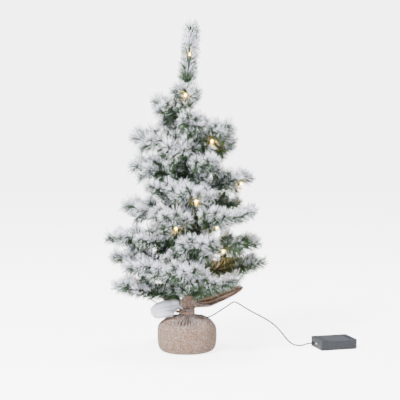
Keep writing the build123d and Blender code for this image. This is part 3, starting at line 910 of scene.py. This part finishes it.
def neck_points(flat_angle, distance):
    """The gathered part of the cloth.

    A point goes up the sack's line by its distance from the middle, turned about the trunk. Folds are waves
    round the sack that grow towards the neck, lean over as laps, and differ by two slower waves.
    """
    line = np.array(SACK_LINE)
    run = np.concatenate([[0], np.cumsum(np.linalg.norm(np.diff(line, axis=0), axis=1))])
    knots = np.linspace(0, run[-1], 60)
    smooth = np.stack([np.interp(knots, run, line[:, axis]) for axis in (0, 1)], axis=1)
    for _ in range(3):
        smooth[1:-1] = (smooth[:-2] + 2 * smooth[1:-1] + smooth[2:]) / 4
    slope = unit(np.gradient(smooth, axis=0))
    columns = (smooth[:, 0], smooth[:, 1], slope[:, 1], -slope[:, 0])
    radius, height, out, up = (np.interp(distance, knots, column) for column in columns)
    gather = np.clip((distance - GATHER_START) / (run[-1] - GATHER_START), 0, 1)
    angle = gathered_angle(flat_angle, gather**1.5)
    slow = 1 + 0.30 * np.sin(3 * flat_angle + 0.7) + 0.2 * np.sin(7 * flat_angle + 2.1)
    wave = np.sin(PLEATS * flat_angle + 1.1 * np.sin(2 * flat_angle))
    rise = np.clip(gather / 0.30, 0, 1)
    rise = rise * rise * (3 - 2 * rise)
    depth = (0.0048 - 0.0030 * np.clip((gather - 0.55) / 0.25, 0, 1)) * rise * slow
    sag = 0.0010 * np.sin(5 * flat_angle + 60 * height) * np.clip(distance / 0.06 - 0.7, 0, 1) * (1 - gather)
    line_of_crease = np.exp(-(((flat_angle - CREASE_TURN) / 0.035) ** 2))
    crease = 0.0030 * line_of_crease * np.clip(distance / 0.06 - 0.8, 0, 1)
    push = depth * wave + sag - crease * (1 - gather)
    angle = angle + 0.7 * rise * np.cos(PLEATS * flat_angle + 0.4) / PLEATS
    radius = radius + push * out
    height = np.maximum(height + push * up, 0.0004)
    return np.stack([radius * np.cos(angle), radius * np.sin(angle), height], axis=-1)


def ear_points(ear, beyond, side):
    """A loose corner: side goes from -1 to 1 across it, and beyond from 0 at the neck to 1 at its tip.

    The middle line leaves the neck, climbs, and droops by the square of the way. Across it the cloth goes to
    and fro in folds: its sideways place runs back on itself by a sine, and its depth follows the cosine of
    the same wave. The width turns by the roll over the first third of the way.
    """
    turn = math.radians(ear.azimuth)
    out = np.array([math.cos(turn), math.sin(turn), 0.0])
    across = np.array([-math.sin(turn), math.cos(turn), 0.0])
    start = out * 0.010 + UP * NECK_CENTRE_Z
    step = beyond[..., None]
    middle = start + out * (ear.reach * step) + UP * (ear.climb * step - ear.droop * step**2)
    slope = out * ear.reach + UP * (ear.climb - 2 * ear.droop * step)
    level = unit(np.cross(slope, across))
    turned = np.clip(beyond * 3.0, 0, 1)[..., None] * math.radians(ear.roll)
    normal = level * np.cos(turned) - across * np.sin(turned)
    across = across * np.cos(turned) + level * np.sin(turned)
    width = ear.half_width + (ear.tip_width - ear.half_width) * beyond
    width = width * (0.55 + 0.45 * np.clip(beyond * 4, 0, 1)) * np.sqrt(np.clip(1.06 - beyond**6, 0.05, 1))
    wave = 2 * math.pi * ear.folds * side
    swing = side + 0.34 * np.sin(wave) / ear.folds
    depth = ear.depth * (np.cos(wave) - 1 + 0.6 * side * side) * (1 - 0.55 * beyond)
    ripple = 0.0012 * np.sin(9 * beyond + 4 * side)
    return middle + across * (width * swing)[..., None] - normal * (depth + ripple)[..., None]


def cloth_grid():
    """The whole cloth as a grid of rows outwards and columns round, with its flat places and its snow."""
    flat_angle = np.linspace(0, 2 * math.pi, CLOTH_COLUMNS, endpoint=False)
    line = np.array(SACK_LINE)
    neck_run = np.linalg.norm(np.diff(line, axis=0), axis=1).sum()
    inner = np.linspace(0, 1, SACK_ROWS)[1:, None] * neck_run * np.ones(CLOTH_COLUMNS)
    edge = flat_edge(flat_angle, neck_run)
    share = np.linspace(0, 1, FLAP_ROWS + 1)[1:, None]
    outer = neck_run + share * (edge - neck_run)
    angles = np.broadcast_to(flat_angle, inner.shape)
    body = neck_points(angles, inner)
    rim = neck_points(flat_angle, np.full(CLOTH_COLUMNS, neck_run))
    outward = unit(rim * (1, 1, 0))
    excess = (outer - neck_run)[..., None]
    frill = 0.35 * np.sin(PLEATS * flat_angle)[None, :, None]
    collar = rim + outward * (excess * (0.42 + frill)) + UP * (excess * 0.78)
    collar = collar - UP * (excess**2 * 9)
    flap = collar.copy()
    snow_flap = np.full(outer.shape, 0.2)
    for quarter, ear in enumerate(EARS):
        local = (flat_angle - quarter * math.pi / 2 + math.pi) % (2 * math.pi) - math.pi
        chosen = np.abs(local) <= math.pi / 4 + 1e-9
        side = (local / (math.pi / 4))[chosen]
        beyond = np.clip((outer[:, chosen] - neck_run) / ear.cut, 0, 1)
        spare = np.clip((beyond - COLLAR / ear.cut) / (1 - COLLAR / ear.cut), 0, 0.97)
        spread = np.clip(side / (1 - spare ** (1 / CORNER_POWER)), -1, 1)
        corner = ear_points(ear, beyond, spread)
        join = np.clip(share * 3.2, 0, 1)
        join = join * join * (3 - 2 * join)
        weight = (join * (1 - np.abs(side) ** 5))[..., None]
        flap[:, chosen] = collar[:, chosen] * (1 - weight) + corner * weight
        snow_flap[:, chosen] = ear.snow * (1 - side**4) + 0.15
    distance = np.concatenate([inner, outer])
    points = np.concatenate([body, flap])
    flat = np.stack([distance * np.cos(flat_angle), distance * np.sin(flat_angle)], axis=-1)
    top = np.clip((inner - 0.088) / 0.03, 0, 1)
    front = 0.5 - 0.5 * np.sin(angles + FLAT_TURN)
    snow_body = 0.12 + 0.22 * top + 0.14 * front * (1 - top)
    return points, flat, np.concatenate([snow_body, snow_flap])


def cloth_patch():
    """The cloth's grid with a point at its middle, its flat places, its edge, and a line inside the edge."""
    points, flat, snow = cloth_grid()
    rows, columns = points.shape[:2]
    middle = np.array([[0.0, 0.0, SACK_LINE[0][1]]])
    ring = np.arange(columns)
    faces = grid_faces(rows, columns)[:, ::-1]
    fan = np.stack([np.full(columns, rows * columns), (ring + 1) % columns, ring], axis=1)
    all_points = np.concatenate([points.reshape(-1, 3), middle])
    values = {"snow": np.concatenate([snow.ravel(), [0.0]])}
    uv = np.concatenate([flat.reshape(-1, 2), [[0.0, 0.0]]])
    return Patch(all_points, [faces, fan], 0, values), uv, points[-1], points[-3]


def fringe_patch(rng, edge, inside, threads, length, material=0, snow=0.5):
    """Loose threads along an edge: each a bent three-sided strand that wanders off the cloth's line."""
    place = rng.random(threads) * len(edge)
    index = place.astype(int)
    after = (index + 1) % len(edge)
    part = (place - index)[:, None]
    base = edge[index] * (1 - part) + edge[after] * part
    out = unit(base - inside[index] + rng.normal(0, 1e-6, (threads, 3)))
    way = unit(out + rng.normal(0, 0.45, (threads, 3)))
    bend = rng.normal(0, 0.35, (threads, 3)) - UP * 0.15
    reach = length * rng.uniform(0.35, 1.25, threads)[:, None, None]
    steps = np.linspace(0, 1, 5)[None, :, None]
    line = base[:, None] + reach * (way[:, None] * steps + bend[:, None] * steps**2)
    line = line - (out * 0.0006)[:, None]
    side = unit(np.cross(way, rng.normal(0, 1, (threads, 3))))
    other = np.cross(way, side)
    corner = np.radians([90, 210, 330])
    cosine, sine = (wave(corner)[None, None, :, None] for wave in (np.cos, np.sin))
    ring = cosine * side[:, None, None] + sine * other[:, None, None]
    thick = (0.00038 * (1 - 0.5 * np.linspace(0, 1, 5)))[None, :, None, None]
    points = line[:, :, None] + ring * thick
    block = grid_faces(5, 3)
    caps = np.array([[2, 1, 0], [12, 13, 14]])
    start = (np.arange(threads) * 15)[:, None, None]
    faces = [(start + block[None]).reshape(-1, 4), (start + caps[None]).reshape(-1, 3)]
    return Patch(points.reshape(-1, 3), faces, material, {"snow": np.full(threads * 15, snow)})


# ---------------------------------------------------------------- twine
TWINE_WIDTH = 0.0026
TAIL_LENGTH = 0.056
TAIL_WAY = (-0.907, 0.035, 0.419)
TAIL_SAG = 0.003
ROPE_STRANDS = 3
# Winds of the strands for each metre of rope.
ROPE_TURNS = 150.0
# The tie: its turns round the neck, their radius, the lowest turn's height and the knot.
TIE_TURNS = 2.06
TIE_RADIUS = 0.01385
TIE_HEIGHT = 0.0707
KNOT_CENTRE = (-0.0172, -0.0004, 0.0722)
KNOT_ACROSS = (0.2, 0.3, 1.0)


class PathFrame:
    """A path in even short steps, how far along it each point is, and two directions across it there."""

    def __init__(self, path, across, step, least):
        path = np.asarray(path, float)
        run = np.concatenate([[0], np.cumsum(np.linalg.norm(np.diff(path, axis=0), axis=1))])
        self.distance = np.linspace(0, run[-1], max(least, int(run[-1] / step)))
        columns = [np.interp(self.distance, run, path[:, axis]) for axis in range(3)]
        self.points = np.stack(columns, axis=1)
        along = unit(np.gradient(self.points, axis=0))
        self.side = unit(np.cross(along, across))
        self.other = np.cross(along, self.side)

    def wound(self, turns_per_metre, phase, radius):
        """A line that winds about the path at a radius."""
        wind = self.distance * turns_per_metre * 2 * math.pi + phase
        offset = np.cos(wind)[:, None] * self.side + np.sin(wind)[:, None] * self.other
        return self.points + offset * radius


def rope_patches(path, diameter, across):
    """A laid rope: three strands wound side by side about a path, each a little over half as thick as it."""
    rope = PathFrame(path, across, 0.0007, 20)
    patches = []
    for strand in range(ROPE_STRANDS):
        line = rope.wound(ROPE_TURNS, strand * 2 * math.pi / ROPE_STRANDS, diameter * 0.24)
        patches.append(tube_patch(line, diameter * 0.27, 7, across, 0, {"snow": 0.3}))
    return patches


def twisted_pair(path, diameter, turns_per_metre, across):
    """Two round wires wound about a path, pressed together a little, each off it by about its own radius."""
    pair = PathFrame(path, across, 0.0009, 24)
    patches = []
    for phase in (0.0, math.pi):
        line = pair.wound(turns_per_metre, phase, diameter * 0.19)
        patches.append(tube_patch(line, diameter * 0.31, 7, across, 0))
    return patches


# ---------------------------------------------------------------- operators
class FIR_OT_stage(bpy.types.Operator):
    """Adds the floor, the camera and the soft studio light"""

    bl_idname = "fir.stage"
    bl_label = "Stage"

    def execute(self, context):
        settings = context.scene.fir_stage
        camera_data = bpy.data.cameras.new("camera")
        camera_data.sensor_width = 36.0
        camera_data.lens = settings.camera_lens
        camera = bpy.data.objects.new("camera", camera_data)
        camera.location = (settings.camera_side, -settings.camera_distance, settings.camera_height)
        camera.rotation_euler = (math.pi / 2 - settings.camera_tilt, 0.0, 0.0)
        context.scene.collection.objects.link(camera)
        context.scene.camera = camera
        self.add_floor(context, settings)
        self.add_lights(context)
        return {"FINISHED"}

    def add_floor(self, context, settings):
        """A wide square whose grain is too fine to see."""
        half = 12.0
        points = np.array([[-half, -half, 0], [half, -half, 0], [half, half, 0], [-half, half, 0]], float)
        mesh = bpy.data.meshes.new("floor")
        mesh.from_pydata(points.tolist(), [], [(0, 1, 2, 3)])
        material, tree, shader = new_material("floor", roughness=0.75)
        shade = shades(tree, noise(tree, 3.0), settings.floor, 0.99, 1.0)
        tree.links.new(shade, shader.inputs["Base Color"])
        seen = add_node(tree, "ShaderNodeLightPath").outputs["Is Camera Ray"]
        tree.links.new(seen, shader.inputs["Emission Strength"])
        shader.inputs["Emission Color"].default_value = (FLOOR_GLOW, FLOOR_GLOW, FLOOR_GLOW, 1.0)
        mesh.materials.append(material)
        floor = bpy.data.objects.new("floor", mesh)
        context.scene.collection.objects.link(floor)

    def add_lights(self, context):
        """A key from the upper left front, a fill from the right, a top light and a white world."""
        world = bpy.data.worlds.new("studio")
        world.use_nodes = True
        background = world.node_tree.nodes["Background"]
        background.inputs["Color"].default_value = (1.0, 1.0, 1.0, 1.0)
        seen = add_node(world.node_tree, "ShaderNodeLightPath").outputs["Is Camera Ray"]
        strength = add_node(world.node_tree, "ShaderNodeMapRange", {0: seen, 3: WORLD_LIGHT, 4: WORLD_WHITE})
        world.node_tree.links.new(strength.outputs[0], background.inputs["Strength"])
        context.scene.world = world
        lamps = (
            ("key", (-1.2, -1.6, 2.1), 0.6, 215.0),
            ("fill", (1.8, -1.6, 1.0), 1.2, 26.0),
            ("top", (0.1, 0.3, 2.6), 0.8, 95.0),
        )
        for name, place, size, power in lamps:
            data = bpy.data.lights.new(name, "AREA")
            data.shape = "DISK"
            data.size = size
            data.energy = power
            lamp = bpy.data.objects.new(name, data)
            lamp.location = place
            aim = np.array([0.05, 0.0, 0.28]) - np.array(place)
            lamp.rotation_mode = "QUATERNION"
            lamp.rotation_quaternion = Vector(aim).to_track_quat("-Z", "Y")
            context.scene.collection.objects.link(lamp)


def spline_points(route):
    """Points of the smooth line whose control points are a route, read from its NURBS spline."""
    curve = bpy.data.curves.new("route", "CURVE")
    curve.dimensions = "3D"
    spline = curve.splines.new("NURBS")
    spline.points.add(len(route) - 1)
    spline.points.foreach_set("co", np.array([(*point, 1.0) for point in route], np.float32).ravel())
    spline.order_u = 3
    spline.use_endpoint_u = True
    spline.resolution_u = 16
    holder = bpy.data.objects.new("route", curve)
    bpy.context.scene.collection.objects.link(holder)
    bpy.context.view_layer.update()
    mesh = bpy.data.meshes.new_from_object(holder.evaluated_get(bpy.context.evaluated_depsgraph_get()))
    points = np.zeros(len(mesh.vertices) * 3, np.float32)
    mesh.vertices.foreach_get("co", points)
    bpy.data.meshes.remove(mesh)
    bpy.data.objects.remove(holder)
    bpy.data.curves.remove(curve)
    return points.reshape(-1, 3).astype(float)


class FIR_OT_lead(bpy.types.Operator):
    """Lays the two-wire lead from the sack's neck to the battery box"""

    bl_idname = "fir.lead"
    bl_label = "Lead"

    def execute(self, context):
        path = spline_points(LEAD_ROUTE)
        patches = twisted_pair(path, LEAD_DIAMETER, LEAD_TURNS, (0.3, 1.0, 0.0))
        lead = make_piece("power_lead", patches, [wire_material()], "root")
        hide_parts("power_cord")
        return {"FINISHED"}


class FIR_OT_branches(bpy.types.Operator):
    """Covers every branch with needles, flock and twisted stems"""

    bl_idname = "fir.branches"
    bl_label = "Branches"

    def execute(self, context):
        materials = [needle_material(), stem_material()]
        for number, body in enumerate(BRANCHES):
            rng = np.random.default_rng(SEED + number)
            patches = []
            for place, spray in enumerate(sprays_of(body)):
                patches.append(needle_patch(rng, spray))
                patches.append(stem_patch(spray, STEM_WIRE if place == 0 else SPRIG_WIRE))
            piece = make_piece(f"needles_{body[-2:]}", patches, materials, body)
            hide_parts(body)
        return {"FINISHED"}


class FIR_OT_leader(bpy.types.Operator):
    """Covers the top spike with needles and flock"""

    bl_idname = "fir.leader"
    bl_label = "Top spike"

    def execute(self, context):
        settings = context.scene.fir_foliage
        rng = np.random.default_rng(SEED + 100)
        hinge = np.array(JOINT_OF["leader"]["pos_m"])
        spike = max(node_bars("leader", hinge), key=lambda bar: bar.radius)
        along = unit(spike.end - hinge)
        end = spike.end - along * LEADER_BACK
        flock, length = settings.flock * 1.35, settings.needle_length * 1.22
        spray = Spray(hinge, end, np.array([0.0, 1.0, 0.0]), flock, length, 2.0)
        patches = [needle_patch(rng, spray), stem_patch(spray, STEM_WIRE)]
        piece = make_piece("top_spike", patches, [needle_material(), stem_material()], "leader")
        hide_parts("leader")
        return {"FINISHED"}


class FIR_OT_trunk(bpy.types.Operator):
    """Covers the trunk with the short needles between the branches"""

    bl_idname = "fir.trunk"
    bl_label = "Trunk"

    def execute(self, context):
        settings = context.scene.fir_foliage
        rng = np.random.default_rng(SEED + 200)
        low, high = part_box("trunk_wrap")
        start = np.array([0.0, 0.0, low.z + TRUNK_BARE])
        end = np.array([0.0, 0.0, high.z + TRUNK_PAST])
        flock, length = settings.flock * 0.40, settings.needle_length * 1.15
        spray = Spray(start, end, np.array([1.0, 0.0, 0.0]), flock, length, 1.3)
        patches = [needle_patch(rng, spray)]
        make_piece("trunk_needles", patches, [needle_material()], "root")
        return {"FINISHED"}


class FIR_OT_sack(bpy.types.Operator):
    """Gathers the jute cloth round the weight, with its loose corners and frayed edge"""

    bl_idname = "fir.sack"
    bl_label = "Sack"

    def execute(self, context):
        rng = np.random.default_rng(SEED + 300)
        patch, uv, edge, inside = cloth_patch()
        sack = make_piece("sack_cloth", [patch], [jute_material()], "root", uv=uv)
        wall = sack.modifiers.new("thickness", "SOLIDIFY")
        wall.thickness = 2 * CLOTH_HALF
        wall.offset = 0.0
        threads = [fringe_patch(rng, edge, inside, FRAY_THREADS, FRAY_LENGTH)]
        fray = make_piece("sack_fray", threads, [jute_material("jute_thread", False)], "root")
        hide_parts("jute_sack")
        return {"FINISHED"}


class FIR_OT_twine(bpy.types.Operator):
    """Ties the neck with two turns of twine, a knot and a stiff tail"""

    bl_idname = "fir.twine"
    bl_label = "Twine"

    def execute(self, context):
        material = jute_material("twine_fibre", False, 1.15)
        turns = np.linspace(0, TIE_TURNS, 240)
        angle = math.pi + turns * 2 * math.pi
        level = TIE_HEIGHT + 0.0027 * turns + 0.0016 * np.cos(angle - 2.4)
        wraps = np.stack([TIE_RADIUS * np.cos(angle), TIE_RADIUS * np.sin(angle), level], axis=1)
        knot_centre = np.array(KNOT_CENTRE)
        bow = np.linspace(0, 2 * math.pi, 60)
        loops = np.stack([np.sin(bow) + 0.5 * np.sin(2 * bow), 1.25 * np.cos(bow), np.sin(3 * bow)], axis=1)
        patches = rope_patches(wraps, TWINE_WIDTH, UP)
        patches += rope_patches(knot_centre + 0.0017 * loops, TWINE_WIDTH, KNOT_ACROSS)
        tie = make_piece("twine_wraps", patches, [material], "root")
        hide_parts("twine_tie")
        way = unit(np.array(TAIL_WAY))
        route = [
            knot_centre + way * TAIL_LENGTH * share - UP * TAIL_SAG * math.sin(math.pi * share)
            for share in (0.0, 0.2, 0.42, 0.64, 0.84, 1.0)
        ]
        path = spline_points([tuple(point) for point in route])
        knob = path[-1] + 0.0011 * np.stack([np.sin(bow), 1.2 * np.cos(bow), np.sin(3 * bow)], axis=1)
        strands = rope_patches(path, TWINE_WIDTH * 0.85, UP)
        tail = make_piece("twine_tail", strands, [material], "root")
        strands = rope_patches(knob, TWINE_WIDTH * 0.8, KNOT_ACROSS)
        stop = make_piece("twine_end_knot", strands, [material], "root")
        return {"FINISHED"}


STRING_RADIUS = 0.00665
STRING_PITCH = 0.054
STRING_PHASE = math.radians(312)
STRING_DIAMETER = 0.0016
DROP_DIAMETER = 0.0015
# Twists of the wires for each metre.
STRING_TURNS = 160.0
# The holder's and the lens's profiles, as distances along and radii in mm. The holder has three grip rings.
HOLDER_LINE = (
    (0, 0), (0, 1.5), (0.4, 1.9), (1.4, 1.9), (1.7, 2.3), (2.5, 2.3), (2.8, 2.0), (3.5, 2.0),
    (3.8, 2.3), (4.6, 2.3), (4.9, 2.0), (5.6, 2.0), (5.9, 2.3), (6.8, 2.3), (7.0, 2.0), (7.0, 0),
)
LENS_LINE = ((0, 0), (0, 1.75), (0.4, 2.0), (3.2, 2.0), (4.2, 1.75), (4.9, 1.25), (5.35, 0.6), (5.5, 0))


class FIR_OT_lights(bpy.types.Operator):
    """Hangs a lit lens in its holder, on two twisted wires, under each branch that has one"""

    bl_idname = "fir.lights"
    bl_label = "Lights"

    def execute(self, context):
        settings = context.scene.fir_light
        wire = wire_material()
        holder_plastic = moulded_material("holder_plastic", (0.055, 0.085, 0.045), 0.45, 1500.0, 0.00004)
        materials = [wire, holder_plastic, lens_material()]
        for node in LIGHTS:
            body = BODY_OF[node]
            hinge = np.array(JOINT_OF[body]["pos_m"])
            lead, _, holder = light_bars(node)
            axis = unit(holder.end - holder.start)
            drop, across = (0.004, (1.0, 0.2, 0.1)) if body == "leader" else (0.006, (0.31, 0.24, 1.0))
            knee = lead.start - axis * 0.006
            bend = np.linspace(0, 1, 10)[:, None]
            link = (hinge - UP * drop) * (1 - bend) ** 2 + knee * 2 * bend * (1 - bend) + lead.start * bend**2
            path = np.concatenate([link[:-1], np.linspace(lead.start, lead.end, 24)])
            patches = twisted_pair(path, DROP_DIAMETER, STRING_TURNS, across)
            patches.append(lathe_patch(np.array(HOLDER_LINE) * MM, holder.start, axis, 18, 1))
            patches.append(lathe_patch(np.array(LENS_LINE) * MM, holder.end, axis, 18, 2))
            piece = make_piece(f"lamp_{node[-2:]}", patches, materials, body)
            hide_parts(node)
            self.add_spill(context, node, holder.end + axis * LENS_MIDDLE - UP * 0.004, body, settings)
        return {"FINISHED"}

    def add_spill(self, context, node, place, body, settings):
        """A small warm lamp by the lens, which moves with its branch."""
        data = bpy.data.lights.new(f"spill_{node[-2:]}", "POINT")
        data.color = settings.glow
        data.energy = settings.spill
        data.shadow_soft_size = 0.002
        lamp = bpy.data.objects.new(f"spill_{node[-2:]}", data)
        lamp.location = place
        context.scene.collection.objects.link(lamp)
        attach(lamp, body)


class FIR_OT_string(bpy.types.Operator):
    """Winds the string's two twisted wires up the trunk"""

    bl_idname = "fir.string"
    bl_label = "String"

    def execute(self, context):
        low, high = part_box("light_wire")
        height = np.linspace(low.z + STRING_RADIUS / 8, high.z - STRING_RADIUS / 8, 420)
        angle = STRING_PHASE + (height - height[0]) / STRING_PITCH * 2 * math.pi
        path = np.stack([STRING_RADIUS * np.cos(angle), STRING_RADIUS * np.sin(angle), height], axis=1)
        patches = twisted_pair(path, STRING_DIAMETER, STRING_TURNS, UP)
        piece = make_piece("string_wire", patches, [wire_material()], "root")
        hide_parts("light_wire")
        return {"FINISHED"}


class FIR_OT_hardware(bpy.types.Operator):
    """Finishes the parts that keep their shape: the weight, the rod, the battery box and what is in it"""

    bl_idname = "fir.hardware"
    bl_label = "Weight and battery box"

    def execute(self, context):
        shell = np.array(context.scene.fir_box.shell)
        finishes = {
            "cement_weight": cement_material(),
            "trunk_rod": metal_material("rod_steel", (0.50, 0.50, 0.49), 0.38),
            "battery_case": moulded_material("case_plastic", shell, 0.46, 1600.0, 0.00006),
            # Painted highlight: the lid is the box's top face, and its colour is the shell's made 1.7 times
            # paler for the light on the top.
            "battery_lid": moulded_material("lid_plastic_painted_light", shell * 1.7, 0.42, 1600.0, 0.00006),
            "batteries": moulded_material("cell_jacket", (0.10, 0.20, 0.15), 0.35, 300.0, 0.00001),
            "battery_contacts": metal_material("contact_nickel", (0.72, 0.70, 0.66), 0.25),
            "switch_slider": moulded_material("slider_plastic", (0.50, 0.52, 0.54), 0.35, 1200.0, 0.00003),
            "switch_body": moulded_material("switch_plastic", (0.02, 0.02, 0.022), 0.4, 1200.0, 0.00003),
            "timer_board": moulded_material("board_mask", (0.02, 0.12, 0.05), 0.3, 800.0, 0.00002),
            "cord_grommet": moulded_material("grommet_rubber", (0.02, 0.02, 0.02), 0.7, 1500.0, 0.00004),
            "trunk_wrap": bark_tape_material(),
        }
        for node, material in finishes.items():
            slots = frame["nodes"][node].data.materials
            slots.clear()
            slots.append(material)
        return {"FINISHED"}


class FIR_PT_panel(bpy.types.Panel):
    """The steps that build the fir, in order"""

    bl_idname = "FIR_PT_panel"
    bl_label = "Flocked fir"
    bl_space_type = "VIEW_3D"
    bl_region_type = "UI"
    bl_category = "Fir"

    def draw(self, context):
        for operator in OPERATORS:
            self.layout.operator(operator.bl_idname)


SETTINGS = {
    "fir_foliage": FoliageSettings,
    "fir_light": LightSettings,
    "fir_sack": SackSettings,
    "fir_box": BoxSettings,
    "fir_stage": StageSettings,
}
OPERATORS = (
    FIR_OT_stage,
    FIR_OT_lead,
    FIR_OT_branches,
    FIR_OT_leader,
    FIR_OT_trunk,
    FIR_OT_sack,
    FIR_OT_twine,
    FIR_OT_lights,
    FIR_OT_string,
    FIR_OT_hardware,
)


def register():
    for group in SETTINGS.values():
        bpy.utils.register_class(group)
    for name, group in SETTINGS.items():
        setattr(bpy.types.Scene, name, bpy.props.PointerProperty(type=group))
    for operator in OPERATORS:
        bpy.utils.register_class(operator)
    bpy.utils.register_class(FIR_PT_panel)


def unregister():
    bpy.utils.unregister_class(FIR_PT_panel)
    for operator in reversed(OPERATORS):
        bpy.utils.unregister_class(operator)
    for name, group in SETTINGS.items():
        delattr(bpy.types.Scene, name)
        bpy.utils.unregister_class(group)


def main():
    register()
    for operator in OPERATORS:
        group, name = operator.bl_idname.split(".")
        getattr(getattr(bpy.ops, group), name)()
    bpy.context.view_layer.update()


if __name__ == "__main__":
    main()
